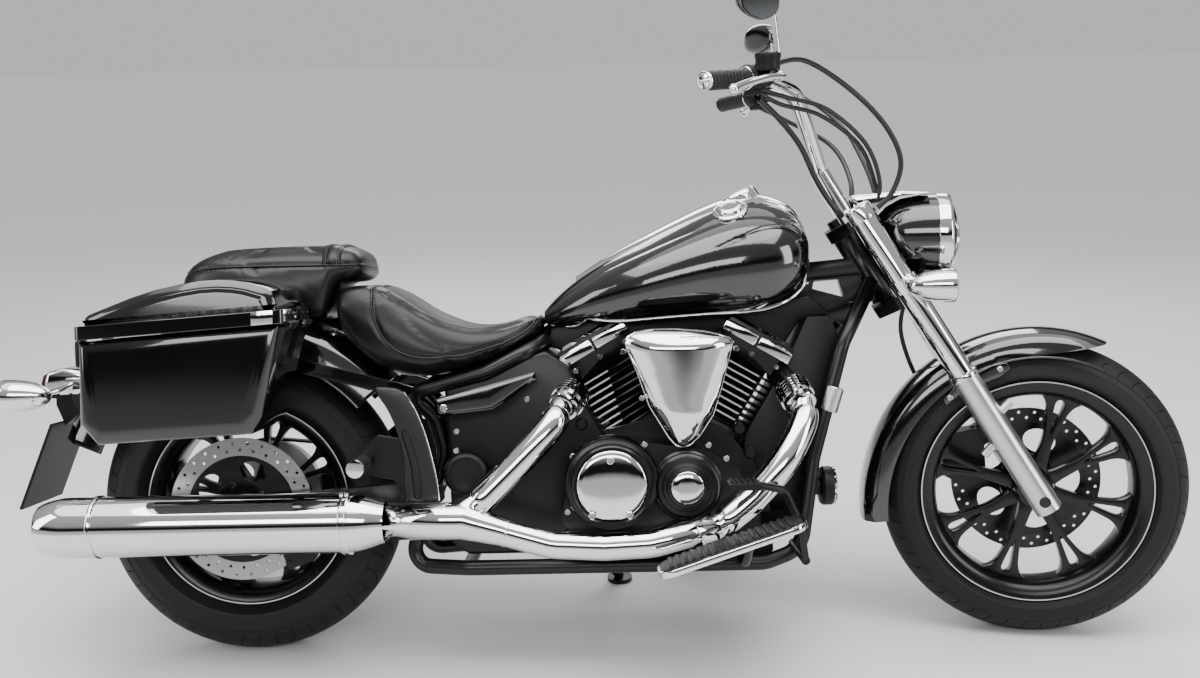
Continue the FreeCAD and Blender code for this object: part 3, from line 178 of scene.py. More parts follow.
# %% Paints and enamels
lacquer, s = finish("black lacquer", "black_paint", "060606", 0.12, Coat_Weight=1.0, Coat_Roughness=0.02)
cloudy(lacquer, s, 90, 0.1, 0.16)
powder_coat, s = finish("black powder coat", "black_frame", "080808", 0.32, Specular_IOR_Level=0.35)
grain(powder_coat, s, 1.6, 0.03, bump=0.3)
engine_enamel, s = finish("black engine enamel", "black_engine", "080808", 0.36, Specular_IOR_Level=0.3)
grain(engine_enamel, s, 0.9, 0.04, bump=0.35)
wheel_enamel, s = finish("black wheel enamel", "black_engine", "060606", 0.24, Specular_IOR_Level=0.35)
cloudy(wheel_enamel, s, 40, 0.2, 0.3)
case_plastic, s = finish("gloss black ABS", "hard_case", "070707", 0.1, Coat_Weight=0.6, Coat_Roughness=0.03)
cloudy(case_plastic, s, 120, 0.08, 0.14)

# %% Rubber, plastic, leather, glass
tyre_rubber, s = finish("tyre rubber", "tyre", "0B0B0B", 0.6, Specular_IOR_Level=0.3)
grain(tyre_rubber, s, 2.2, 0.06, bump=0.35)
grip_rubber, s = finish("moulded grip rubber", "rubber", "0B0B0B", 0.5, Specular_IOR_Level=0.35)
grain(grip_rubber, s, 1.1, 0.05, bump=0.4)
hose_rubber, s = finish("hose rubber", "black_frame", "090909", 0.34)
cloudy(hose_rubber, s, 8, 0.32, 0.46)
moulded_plastic, s = finish("moulded black plastic", "black_plastic", "080808", 0.45, Specular_IOR_Level=0.25)
grain(moulded_plastic, s, 0.8, 0.03, bump=0.3)
leather, s = finish("black seat leather", "leather", "0A0909", 0.36, Specular_IOR_Level=0.35)
grain(leather, s, 2.4, 0.16, "ShaderNodeTexVoronoi", bump=0.35)
thread, s = finish("bonded nylon thread", "leather", "4A4A4A", 0.5)
grain(thread, s, 0.6, 0.1, bump=0.5)
lamp_glass, s = finish("clear lamp glass", "lens", "F4F6F7", 0.02, Transmission_Weight=1.0, IOR=1.5)
grain(lamp_glass, s, 9.0, 0.1, bump=0.08)
signal_lens, s = finish("frosted signal lens", "lens", "D8D8D6", 0.12, Transmission_Weight=0.5, IOR=1.49)
grain(signal_lens, s, 3.0, 0.2, "ShaderNodeTexVoronoi", bump=0.3)
mirror_glass, s = finish("silvered glass", "chrome", "DADDE0", 0.01, 1.0)
cloudy(mirror_glass, s, 80, 0.005, 0.02)
stop_lens, s = finish("dark stop lamp lens", "lens", "3A0A0A", 0.1, Transmission_Weight=0.3, IOR=1.49)
grain(stop_lens, s, 3.0, 0.2, "ShaderNodeTexVoronoi", bump=0.3)
satin_black, s = finish("satin black moulding", "black_plastic", "0A0A0A", 0.34)
grain(satin_black, s, 0.7, 0.02, bump=0.2)
plate_white, s = finish("plate enamel", "chrome", "C9C9C6", 0.35)
cloudy(plate_white, s, 30, 0.3, 0.42)
print("materials:", len(bpy.data.materials))

# %% [markdown]
# ## The camera
# The photograph was matched with a camera about two and a half metres off, a little above the
# tank and tipped thirteen degrees down. Its picture is 1200 by 678 and one degree off level.

# %% Camera
IMAGE_WIDTH = 1200.0
FOCAL_PX = 1200.0
SENSOR_MM = 36.0
YAW, PITCH, ROLL = (math.radians(a) for a in (0.09, 13.07, 1.08))
CAMERA_AT = Vector((-0.0849, -2.414, 1.2364))
ahead = Matrix.Rotation(YAW, 3, "Z") @ Vector((0, 1, 0))
right = Matrix.Rotation(YAW, 3, "Z") @ Vector((1, 0, 0))
tip = Matrix.Rotation(-PITCH, 3, right)
ahead, up = tip @ ahead, tip @ Vector((0, 0, 1))
level = Matrix.Rotation(ROLL, 3, ahead)
right, up = level @ right, level @ up
lens = bpy.data.cameras.new("camera")
lens.sensor_width = SENSOR_MM
lens.lens = SENSOR_MM * FOCAL_PX / IMAGE_WIDTH
camera = bpy.data.objects.new("camera", lens)
camera.matrix_world = Matrix.Translation(CAMERA_AT) @ Matrix((right, up, -ahead)).transposed().to_4x4()
bpy.context.scene.collection.objects.link(camera)
bpy.context.scene.camera = camera

# %% [markdown]
# ## Studio
# Chrome and black lacquer show nothing but the room, so the room is built for them: a pale
# floor, a large soft light overhead, and a long strip each side that draws a clean line along the
# tank and pipes. A very broad sun stands for the white ceiling and lights the floor evenly out to
# the horizon. A dark band low on the walls gives the chrome something dark to mirror; only
# reflections see it, while the camera sees plain grey there.

# %% Floor and lights
FLOOR_REACH = 400.0
BACKDROP = hex_colour("DDDEDF")
floor_paint, s = finish("pale studio floor", None, "C8C9C8", 0.85)
grain(floor_paint, s, 12.0, 0.4, bump=0.15)
bm = bmesh.new()
bmesh.ops.create_grid(bm, x_segments=1, y_segments=1, size=FLOOR_REACH)
floor_mesh = bpy.data.meshes.new("floor")
bm.to_mesh(floor_mesh)
bm.free()
floor_mesh.materials.append(floor_paint)
studio_floor = bpy.data.objects.new("floor", floor_mesh)
bpy.context.scene.collection.objects.link(studio_floor)


def soft_light(name, place, target, width, depth, watts):
    """Rectangular lamp at a place, aimed at a target."""
    lamp = bpy.data.lights.new(name, "AREA")
    lamp.shape = "RECTANGLE"
    lamp.size, lamp.size_y = width, depth
    lamp.energy = watts
    box = bpy.data.objects.new(name, lamp)
    box.location = place
    box.rotation_euler = (Vector(target) - Vector(place)).to_track_quat("-Z", "Y").to_euler()
    bpy.context.scene.collection.objects.link(box)


soft_light("overhead", (0.0, -0.6, 3.4), (0.0, 0.0, 0.4), 4.5, 2.2, 170)
soft_light("front strip", (-0.6, -4.2, 2.6), (0.0, 0.0, 0.5), 4.2, 1.0, 110)
soft_light("nose side", (3.6, -1.8, 1.8), (0.6, 0.0, 0.5), 1.0, 2.4, 60)
soft_light("tail side", (-3.6, -1.2, 1.9), (-0.6, 0.0, 0.5), 1.0, 2.4, 45)
soft_light("far side", (0.4, 4.0, 2.8), (0.0, 0.0, 0.5), 3.6, 1.4, 90)
dome = bpy.data.lights.new("ceiling", "SUN")
dome.energy = 1.9
dome.angle = math.radians(70)
ceiling = bpy.data.objects.new("ceiling", dome)
bpy.context.scene.collection.objects.link(ceiling)
world = bpy.data.worlds.new("studio")
world.use_nodes = True
sky = world.node_tree.nodes["Background"]
where = world.node_tree.nodes.new("ShaderNodeTexCoord")
split = world.node_tree.nodes.new("ShaderNodeSeparateXYZ")
ramp = world.node_tree.nodes.new("ShaderNodeValToRGB")
world.node_tree.links.new(where.outputs["Generated"], split.inputs[0])
world.node_tree.links.new(split.outputs["Z"], ramp.inputs[0])
seen = world.node_tree.nodes.new("ShaderNodeLightPath")
choice = world.node_tree.nodes.new("ShaderNodeMixRGB")
choice.inputs[2].default_value = BACKDROP
world.node_tree.links.new(seen.outputs["Is Camera Ray"], choice.inputs[0])
world.node_tree.links.new(ramp.outputs[0], choice.inputs[1])
world.node_tree.links.new(choice.outputs[0], sky.inputs[0])
ramp.color_ramp.elements[0].position = 0.0
ramp.color_ramp.elements[0].color = BACKDROP
ramp.color_ramp.elements[1].position = 1.0
ramp.color_ramp.elements[1].color = hex_colour("E6E7E8")
for place, code in ((0.06, "DDDEDF"), (0.13, "1C1D1E"), (0.24, "1C1D1E"), (0.38, "B4B5B7")):
    stop = ramp.color_ramp.elements.new(place)
    stop.color = hex_colour(code)
sky.inputs[1].default_value = 0.8
bpy.context.scene.world = world

# %% [markdown]
# ## Drawing tools
# Nearly everything on a motorcycle is turned, cut from plate or bent from tube, and Blender has one
# operator for each: spin for what is turned, extrude for plate, and a bevelled curve for tube. The
# helpers below only wrap those three in millimetres. `piece` then carries a drawing from the board
# to the parked bike, points its faces outward, marks its creases and hands it to a body to ride on.

# %% Drawing tools


def turned(bm, profile, centre, axis, steps, angle=360.0, side=None):
    """Spin (distance along the axis, radius) points round an axis through the centre."""
    axis = Vector(axis).normalized()
    side = Vector(side or axis.orthogonal()).normalized()
    verts = [bm.verts.new(Vector(centre) + axis * a + side * r) for a, r in profile]
    edges = [bm.edges.new(two) for two in zip(verts, verts[1:])]
    bmesh.ops.spin(bm, geom=verts + edges, cent=centre, axis=axis, angle=math.radians(angle),
                   steps=steps, use_merge=angle == 360.0)


def pushed(bm, faces, by):
    """Extrude faces and move what has grown by a vector; gives back the new geometry."""
    grown = bmesh.ops.extrude_face_region(bm, geom=faces)["geom"]
    bmesh.ops.translate(bm, verts=[v for v in grown if isinstance(v, bmesh.types.BMVert)], vec=by)
    return grown


def slab(bm, outline, y0, y1):
    """Prism of an (x, z) outline, from y0 to y1; gives back its face at y1."""
    face = bm.faces.new([bm.verts.new((x, y0, z)) for x, z in outline])
    grown = pushed(bm, [face], (0, y1 - y0, 0))
    return next(f for f in grown if isinstance(f, bmesh.types.BMFace))


def bevel(bm, edges, width, segments, clamp=False):
    """Round just these edges."""
    bmesh.ops.bevel(bm, geom=edges, offset=width, offset_type="OFFSET", segments=segments, profile=0.5,
                    affect="EDGES", material=-1, clamp_overlap=clamp)


def round_edges(bm, width, segments, angle=30.0):
    """Bevel the edges whose faces meet at more than the angle."""
    bmesh.ops.recalc_face_normals(bm, faces=bm.faces[:])
    sharp = [e for e in bm.edges if len(e.link_faces) == 2 and e.calc_face_angle(0) > math.radians(angle)]
    bevel(bm, sharp, width, segments, True)


def rounded_box(x0, x1, y0, y1, z0, z1, radius, segments=3):
    """Box between two corners, as a drawing of its own."""
    box = bmesh.new()
    bmesh.ops.create_cube(box, size=1.0)
    bmesh.ops.scale(box, vec=(x1 - x0, y1 - y0, z1 - z0), verts=box.verts[:])
    bmesh.ops.translate(box, vec=((x0 + x1) / 2, (y0 + y1) / 2, (z0 + z1) / 2), verts=box.verts[:])
    if radius:
        round_edges(box, radius, segments)
    return box


def merge_in(bm, other, matrix=Matrix.Identity(4)):
    """Move another drawing by a matrix and add it to this one."""
    other.transform(matrix)
    scratch = bpy.data.meshes.new("scratch")
    other.to_mesh(scratch)
    other.free()
    bm.from_mesh(scratch)
    bpy.data.meshes.remove(scratch)


def board_of(body):
    """The matrix for what rides on a body."""
    return FORK if body in ("steering", "front_wheel") else BIKE


def ride_along(name, mesh, body, instead_of=()):
    """Make an object of a mesh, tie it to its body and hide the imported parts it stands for."""
    thing = bpy.data.objects.new(name, mesh)
    bpy.context.scene.collection.objects.link(thing)
    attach(thing, body)
    if instead_of:
        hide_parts(*instead_of)
    return thing


def piece(name, bm, material, body="chassis", slot=None, instead_of=(), crease=35.0, both_sides=False):
    """Take a drawing to the parked bike as an object; both_sides adds its mirror image first."""
    bmesh.ops.remove_doubles(bm, verts=bm.verts[:], dist=0.01)
    bmesh.ops.recalc_face_normals(bm, faces=bm.faces[:])
    if both_sides:
        bmesh.ops.mirror(bm, geom=bm.verts[:] + bm.edges[:] + bm.faces[:], axis="Y", merge_dist=-1.0)
        bmesh.ops.recalc_face_normals(bm, faces=bm.faces[:])
    bm.transform(board_of(body))
    mesh = bpy.data.meshes.new(name)
    bm.to_mesh(mesh)
    bm.free()
    mesh.materials.append(material)
    mesh.shade_smooth()
    mesh.set_sharp_from_angle(angle=math.radians(crease))
    print(name + ":", len(mesh.polygons), "faces")
    return ride_along(name, mesh, body, instead_of)


def spun(name, profile, centre, axis, steps, *how, **more):
    """A piece that is one turned shape; what follows the steps goes to piece()."""
    bm = bmesh.new()
    turned(bm, profile, centre, axis, steps)
    return piece(name, bm, *how, **more)


def skin(mesh):
    """A surface in drawing-board millimetres, to measure against."""
    back = BIKE.inverted()
    return BVHTree.FromPolygons([back @ v.co for v in mesh.vertices],
                                [list(p.vertices) for p in mesh.polygons])


def through(points, step):
    """Points every few millimetres on a smooth line through the given ones."""
    points = [Vector(p) for p in points]
    ends = [points[0] * 2 - points[1]] + points + [points[-1] * 2 - points[-2]]
    line = []
    for a, b, c, d in zip(ends, ends[1:], ends[2:], ends[3:]):
        count = max(1, round((c - b).length / step))
        for i in range(count):
            t = i / count
            line.append(0.5 * ((2 * b) + (c - a) * t + (2 * a - 5 * b + 4 * c - d) * t * t
                               + (3 * b - a - 3 * c + d) * t ** 3))
    return line + [points[-1]]


def bars(name, lines, radius, material, body, sides, closed=False):
    """Round bars along lines of points in millimetres, as one piece."""
    curve = bpy.data.curves.new(name, "CURVE")
    curve.dimensions = "3D"
    curve.bevel_depth = radius / 1000
    curve.bevel_resolution = sides
    curve.use_fill_caps = True
    for line in lines:
        spline = curve.splines.new("POLY")
        spline.points.add(len(line) - 1)
        for knot, point in zip(spline.points, line):
            knot.co = (*(board_of(body) @ Vector(point)), 1.0)
        spline.use_cyclic_u = closed
    drawn = bpy.data.objects.new(name, curve)
    mesh = bpy.data.meshes.new_from_object(drawn)
    bpy.data.objects.remove(drawn)
    mesh.materials.clear()
    mesh.materials.append(material)
    mesh.shade_smooth()
    return ride_along(name, mesh, body)


def tube(name, points, radius, material, body="chassis", sides=3, closed=False,
         both_sides=False):
    """Round bar, hose or seam along a line of points in millimetres."""
    lines = [points] + ([[(p[0], -p[1], p[2]) for p in points]] if both_sides else [])
    return bars(name, lines, radius, material, body, sides, closed)


def soft_edges(thing, width_mm, segments=2, angle=30.0):
    """Round the sharp edges of a finished piece, keeping its flat faces flat."""
    soft = thing.modifiers.new("soft edges", "BEVEL")
    soft.width = width_mm / 1000
    soft.segments = segments
    soft.limit_method = "ANGLE"
    soft.angle_limit = math.radians(angle)
    soft.harden_normals = True


def dress(node, material, bevel_mm=0.0, crease=30.0, split=None, segments=2):
    """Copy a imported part, merge it, soften its edges and colour it; split is (material, test)."""
    source = frame["nodes"][node]
    bodies = frame["record"]["behaviour"]["bodies"]
    body = next(name for name, nodes in bodies.items() if node in nodes)
    bm = bmesh.new()
    bm.from_mesh(source.data)
    bmesh.ops.remove_doubles(bm, verts=bm.verts[:], dist=0.00002)
    bmesh.ops.dissolve_degenerate(bm, edges=bm.edges[:], dist=0.00002)
    if bevel_mm:
        bmesh.ops.dissolve_limit(bm, verts=bm.verts[:], edges=bm.edges[:], angle_limit=math.radians(0.6))
    mesh = bpy.data.meshes.new("dressed_" + node)
    if split:
        back = board_of(body).inverted()
        for face in bm.faces:
            face.material_index = int(split[1](back @ face.calc_center_median()))
    bm.to_mesh(mesh)
    bm.free()
    mesh.materials.append(material)
    if split:
        mesh.materials.append(split[0])
    mesh.shade_smooth()
    mesh.set_sharp_from_angle(angle=math.radians(crease))
    thing = ride_along("dressed_" + node, mesh, body, (node,))
    if bevel_mm:
        soft_edges(thing, bevel_mm, segments, crease)
    return thing


def bolt(bm, place, axis, radius, height):
    """Socket screw: a turned head with a rounded rim and a sunk hexagon."""
    turned(bm, [(-2, radius), (height * 0.75, radius), (height, radius * 0.82), (height, radius * 0.5)],
           place, axis, 16)
    turned(bm, [(height, radius * 0.5), (height * 0.35, radius * 0.5), (height * 0.35, 0.0)], place, axis, 6)


def bolts(bm, spots, y, axis, radius, height):
    """Socket screws at (x, z) spots on a face at y."""
    for x, z in spots:
        bolt(bm, (x, y, z), axis, radius, height)

# %% [markdown]
# ## Tyres
# A tyre is a turned shape, so one half-section is spun round the axle. The tread of a touring
# tyre runs in long curves that start almost along the middle and end square at the shoulder. To get
# them without drawing a single curve, the columns of the spun mesh are twisted more and more towards
# the middle, and then every twenty-fourth column is simply pushed in: the grooves follow the twist.

# %% Tyres with moulded grooves
TREAD_COLUMNS = 24
TREAD_PITCHES = 25
TREAD_TWIST = 0.24
TREAD_EDGE = 58


def tyre(name, node, centre, radius, width, bead_radius, bead_width, body):
    """Half a section, mirrored and spun, then grooved and twisted."""
    half = width / 2
    core = radius - half
    tread = [0, 4, 11, 18, 26, 34, 42, 50, TREAD_EDGE]
    wall = [(58.6, 1.4), (66, 1.6), (70, 1.0), (71, 1.8), (80, 1.2), (90, 0.6)]
    right = [(core + half * math.cos(math.radians(a)), half * math.sin(math.radians(a))) for a in tread]
    right += [(core + (half - sink) * math.cos(math.radians(a)), (half - sink) * math.sin(math.radians(a)))
              for a, sink in wall]
    right += [(core - 5, half - 2.5), (bead_radius + 15, bead_width / 2 + 12),
              (bead_radius + 12, bead_width / 2 + 7), (bead_radius + 3, bead_width / 2 + 5)]
    steps = TREAD_PITCHES * TREAD_COLUMNS
    bm = bmesh.new()
    profile = [(-y, r) for r, y in reversed(right[1:])] + [(y, r) for r, y in right]
    turned(bm, profile, centre, (0, 1, 0), steps, side=(1, 0, 0))
    bmesh.ops.remove_doubles(bm, verts=bm.verts[:], dist=0.01)
    bmesh.ops.recalc_face_normals(bm, faces=bm.faces[:])
    edge = half * math.sin(math.radians(TREAD_EDGE))
    grooves = []
    for face in bm.faces:
        spot = face.calc_center_median() - centre
        lean = math.degrees(math.asin(min(1.0, abs(spot.y) / half)))
        if lean > TREAD_EDGE or lean < 3 or Vector((spot.x, spot.z)).length < core:
            continue
        column = int(math.atan2(spot.z, spot.x) / (2 * math.pi) * steps) % steps
        shift = TREAD_COLUMNS // 2 if spot.y > 0 else 0
        place = (column + shift) % TREAD_COLUMNS
        if place == 0 or (place == TREAD_COLUMNS // 2 and 30 < lean):
            grooves.append(face)
    bmesh.ops.inset_region(bm, faces=grooves, thickness=0.3, depth=-2.0, use_even_offset=True)
    for vert in bm.verts:
        out = (vert.co - centre).y
        if abs(out) < edge:
            swing = TREAD_TWIST * (1 - abs(out) / edge) ** 1.8
            vert.co = centre + Matrix.Rotation(swing, 3, "Y") @ (vert.co - centre)
    piece(name, bm, tyre_rubber, body, instead_of=(node,), crease=28.0)


tyre("front_tyre_treaded", "front_tyre", FRONT_AXLE, 320.0, 130.0, 229.0, 80.0, "front_wheel")
tyre("rear_tyre_treaded", "rear_tyre", REAR_AXLE, 322.0, 170.0, 203.0, 104.0, "rear_wheel")

# %% [markdown]
# ## Cast wheels
# Each wheel has eight spokes that fork near the rim, cast in one with it, so every window has
# round corners. A flat outline that flares where it meets the rim gives those corners, and the
# slot between the prongs is a second loop: filling between both loops and pushing the face through
# makes the spoke. The edges are then rounded as a casting's are.

# %% Spokes, barrel and hub
SPOKE_EDGE = [(34, 17), (60, 13), (100, 10.5), (124, 12), (150, 17), (172, 22), (184, 27), (192, 33),
              (198, 41), (202, 50), (206, 60)]
SLOT_EDGE = [(122, 1.5), (150, 5.5), (174, 9), (188, 10), (195, 8), (198.5, 3.5)]
FRONT_WINDOW, REAR_WINDOW, FIRST_SPOKE = 205.0, 182.0, 73.8


def closed_loop(bm, outline, y):
    """Edges round an (x, z) outline at y."""
    verts = [bm.verts.new((x, y, z)) for x, z in outline]
    return [bm.edges.new(two) for two in zip(verts, verts[1:] + verts[:1])]


def pierced_plate(bm, outlines, y0, y1):
    """Fill between an outline and the holes in it, then push the face through from y0 to y1."""
    before = set(bm.faces)
    edges = [edge for outline in outlines for edge in closed_loop(bm, outline, y0)]
    bmesh.ops.triangle_fill(bm, edges=edges, use_beauty=True, use_dissolve=False)
    pushed(bm, [face for face in bm.faces if face not in before], (0, y1 - y0, 0))


def both_edges(edge, stretch):
    """An edge and its mirror image, as one outline stretched along x."""
    return [(x * stretch, z) for x, z in edge] + [(x * stretch, -z) for x, z in reversed(edge)]


def cast_wheel(name, node, centre, bead_radius, bead_width, window, body):
    """Eight forked spokes between a turned hub and a turned barrel."""
    k = window / FRONT_WINDOW
    spokes = bmesh.new()
    for index in range(8):
        arm = bmesh.new()
        pierced_plate(arm, [both_edges(SPOKE_EDGE, k), both_edges(SLOT_EDGE, k)], -13, 13)
        round_edges(arm, 3.0, 2, 40)
        merge_in(spokes, arm, Matrix.Rotation(-math.radians(FIRST_SPOKE + index * 45), 4, "Y"))
    lip = bead_width / 2 + 13
    seat = bead_width / 2
    barrel = [(0, window), (seat - 16, window), (seat - 6, window + 3), (seat + 4, window + 9),
              (lip - 3, window + 20), (lip, bead_radius + 6), (lip, bead_radius + 11),
              (lip - 2, bead_radius + 13), (lip - 6, bead_radius + 12), (seat + 5, bead_radius + 3),
              (seat, bead_radius), (0, bead_radius - 6)]
    profile = [(-a, r) for a, r in reversed(barrel)] + barrel[1:-1]
    turned(spokes, profile + profile[:1], (0, 0, 0), (0, 1, 0), 120)
    hub = [(0, 42), (24, 42), (34, 40), (42, 38), (47, 36), (48, 34), (48, 28), (45, 27), (45, 18), (47, 17),
           (48, 10.3)]
    turned(spokes, [(-a, r) for a, r in reversed(hub[1:])] + hub, (0, 0, 0), (0, 1, 0), 48)
    bmesh.ops.translate(spokes, verts=spokes.verts[:], vec=centre)
    piece(name, spokes, wheel_enamel, body, "cast_black", (node,), crease=32.0)


cast_wheel("front_wheel_casting", "front_rim", FRONT_AXLE, 229.0, 80.0, FRONT_WINDOW, "front_wheel")
cast_wheel("rear_wheel_casting", "rear_rim", REAR_AXLE, 203.0, 104.0, REAR_WINDOW, "rear_wheel")

# %% [markdown]
# The lip of each rim was skimmed bright on the lathe after painting: a ring two millimetres wide.

# %% Machined lips
for body, centre, lip_radius, lip_y in (("front_wheel", FRONT_AXLE, 238.5, 53.4),
                                        ("rear_wheel", REAR_AXLE, 212.5, 65.4)):
    bm = bmesh.new()
    for way in (-1, 1):
        turned(bm, [(way * (lip_y - 3), lip_radius - 1.2), (way * lip_y, lip_radius - 1.2),
                    (way * (lip_y + 0.2), lip_radius), (way * lip_y, lip_radius + 1.2),
                    (way * (lip_y - 3), lip_radius + 1.2)], centre, (0, 1, 0), 120)
    piece(body + "_lips", bm, satin_aluminium, body)

# %% [markdown]
# ## Brake discs
# The ring of a brake disc is stainless steel with two staggered rows of drilled holes; the carrier
# inside it is cast and painted, with oval windows. Both are flat plates with holes, so the pierced
# plate serves again. The holes are real, because daylight shows through them.

# %% Discs
DISC_HOLES, HOLE_RADIUS = 28, 3.6


def circle_points(radius, count, x=0.0, z=0.0, squash=1.0, turn=0.0):
    """Points round a circle, or round an oval when squashed, which may be turned."""
    spots = []
    for i in range(count):
        a = 2 * math.pi * i / count
        p, q = radius * math.cos(a), radius * squash * math.sin(a)
        spots.append((x + p * math.cos(turn) - q * math.sin(turn),
                      z + p * math.sin(turn) + q * math.cos(turn)))
    return spots


def drilled_disc(name, node, centre, radius, inner, y, hub_y, steel, body):
    """Ring with two rows of holes, and the carrier with five windows that holds it."""
    ring = bmesh.new()
    outlines = [circle_points(radius, 96), circle_points(inner, 72)]
    for row, r in enumerate((inner + 0.3 * (radius - inner), inner + 0.7 * (radius - inner))):
        for i in range(DISC_HOLES):
            a = 2 * math.pi * (i + row * 0.5) / DISC_HOLES
            outlines.append(circle_points(HOLE_RADIUS, 10, r * math.cos(a), r * math.sin(a)))
    pierced_plate(ring, outlines, y - 2.5, y + 2.5)
    bmesh.ops.translate(ring, verts=ring.verts[:], vec=centre)
    piece(name + "_ring", ring, steel, body, "steel", (node,), crease=30.0)
    carrier = bmesh.new()
    outlines = [circle_points(inner + 1, 72), circle_points(50, 48)]
    for i in range(5):
        a = 2 * math.pi * i / 5
        r = (inner + 50) / 2 + 1
        outlines.append(circle_points((inner - 50) * 0.34, 20, r * math.cos(a), r * math.sin(a), 1.35, a))
    pierced_plate(carrier, outlines, y - 1.8, y + 1.8)
    way = 1 if hub_y > 0 else -1
    turned(carrier, [(hub_y, 30), (hub_y, 58), (y - way * 3, 62), (y + way * 2.4, 62),
                     (y + way * 2.4, 50), (y + way * 1, 44), (y + way * 1, 30), (hub_y, 30)], (0, 0, 0),
           (0, 1, 0), 48)
    for i in range(5):
        a = 2 * math.pi * (i + 0.5) / 5
        bolt(carrier, Vector((52 * math.cos(a), y + way * 2.4, 52 * math.sin(a))), (0, way, 0), 7, 5)
    bmesh.ops.translate(carrier, verts=carrier.verts[:], vec=centre)
    piece(name + "_carrier", carrier, wheel_enamel, body, "cast_black")


# The front disc takes the darker steel, partly painted shade; the rear disc keeps the bright steel.
drilled_disc("front_disc", "front_disc", FRONT_AXLE, 160.0, 128.0, 68.0, 48.0, dark_steel, "front_wheel")
drilled_disc("rear_disc", "rear_disc", REAR_AXLE, 149.0, 112.0, -111.0, -48.0, disc_steel, "rear_wheel")

# %% [markdown]
# ## Front end
# The fork legs are two tubes in one line: a chromed cover above and a satin aluminium slider below.
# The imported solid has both, so its faces are given one finish or the other by how far up the
# steering axis they lie. The turned parts around it, caps, lamp bowl and bullets, are spun.

# %% Fork legs, caps and axle ends
SLIDER_TOP = 655.0


def along_fork(point):
    """How far up the steering axis a point is."""
    return (point - FORK_FOOT).dot(STEER_AXIS)


dress("fork_legs", satin_aluminium, 1.0, split=(chrome, lambda p: along_fork(p) > SLIDER_TOP))
bm = bmesh.new()
for y in (-105, 105):
    turned(bm, [(0, 26.2), (1, 28.6), (26, 28.6), (30, 27), (33, 22), (34, 12), (34, 0)],
           on_fork(1040, y), STEER_AXIS, 40)
    turned(bm, [(0, 26.3), (0.5, 30.5), (5, 31), (10, 29.5), (12, 26.3)], on_fork(SLIDER_TOP - 4, y),
           STEER_AXIS, 40)
piece("fork_caps", bm, chrome, "steering", crease=30.0)
bm = bmesh.new()
for way in (-1, 1):
    turned(bm, [(0, 12), (1.6, 11.5), (1.6, 9), (0.4, 8.4), (0.4, 0)],
           FRONT_AXLE + Vector((0, way * 132.5, 0)), (0, way, 0), 24)
piece("axle_caps", bm, hose_rubber, "steering")

# %% [markdown]
# The lamp is a deep lacquered bowl behind a broad chrome rim. Its glass shows a mirrored reflector
# with a bulb, so both are made; without them a clear lens looks like a hole.

# %% Headlamp
LAMP_CENTRE = (0, 0, 868)
spun("lamp_bowl", [(1346, 0), (1347, 14), (1350, 32), (1358, 49), (1372, 63), (1392, 75), (1416, 82),
                   (1444, 85.5), (1478, 86.5)], LAMP_CENTRE, (1, 0, 0), 64, lacquer, "steering",
     instead_of=("headlamp",), crease=40.0)
spun("lamp_rim", [(1474, 86.4), (1475, 88.4), (1478, 89), (1496, 88.6), (1502, 86.5), (1504, 82),
                  (1503, 77.5), (1498, 76), (1488, 76)], LAMP_CENTRE, (1, 0, 0), 64, chrome, "steering",
     crease=50.0)
bm = bmesh.new()
turned(bm, [(1500, 76), (1476, 68), (1452, 52), (1436, 32), (1430, 14), (1430, 0)], LAMP_CENTRE,
       (1, 0, 0), 48)
turned(bm, [(1430, 0), (1430, 9), (1462, 9), (1468, 6), (1470, 0)], LAMP_CENTRE, (1, 0, 0), 20)
piece("lamp_reflector", bm, mirror_glass, "steering", crease=50.0)
spun("lamp_lens", [(1499, 77), (1505, 74), (1513, 60), (1520, 42), (1524, 22), (1525.5, 0)], LAMP_CENTRE,
     (1, 0, 0), 64, lamp_glass, "steering", instead_of=("headlamp_lens",), crease=50.0)
bm = bmesh.new()
slab(bm, [(1292, 950), (1300, 958), (1400, 964), (1462, 960), (1430, 952), (1396, 946), (1368, 930),
          (1348, 908), (1330, 912)], -52, 52)
round_edges(bm, 9.0, 4, 20)
piece("lamp_cowl", bm, chrome, "steering", crease=40.0)

# %% [markdown]
# The turn signals are chromed bullets. One profile does for all four: the front ones look forward
# and the rear ones back.

# %% Turn signals
BULLET = [(0, 0), (1.5, 7), (6, 13.5), (16, 20.5), (34, 27.5), (56, 32), (76, 34), (92, 34), (95, 33),
          (96, 31), (94, 30)]
BULLET_LENS = [(93, 30.3), (96, 29.5), (99, 25), (101, 16), (102, 0)]
for name, tip, way, body, node in (("front", (1398, -172, 776), 1, "steering", "front_signals"),
                                   ("rear", (-348, -200, 574), -1, "chassis", "rear_lamps")):
    bm = bmesh.new()
    turned(bm, BULLET, tip, (way, 0, 0), 40)
    if name == "front":
        turned(bm, [(0, 9), (62, 9)], on_fork(884, -105), Vector((1440, -170, 776)) - on_fork(884, -105), 20)
        turned(bm, [(-15, 26.2), (-14, 30.5), (14, 30.5), (15, 26.2)], on_fork(884, -105), STEER_AXIS, 40)
    else:
        turned(bm, [(0, 8), (0, 10), (60, 10), (66, 13), (70, 13), (70, 8)], (-405, -58, 566), (0, -1, 0), 20)
        turned(bm, [(-34, 8), (-30, 12), (-14, 16), (0, 16)], (-382, -192, 573), (0, 1, 0), 20)
    piece(name + "_bullets", bm, chrome, body, instead_of=(node,), crease=40.0, both_sides=True)
    spun(name + "_bullet_lenses", BULLET_LENS, tip, (way, 0, 0), 40, signal_lens, body, crease=50.0,
         both_sides=True)

# %% [markdown]
# ## Handlebar
# Grips are rubber sleeves between a chrome end ring and a chrome collar. The right one turns in a
# split housing; beside it sit the brake's reservoir with its two screws, and a lever that ends in
# a ball. Points are measured inward from the end of the right grip, as the builder of a bar would.

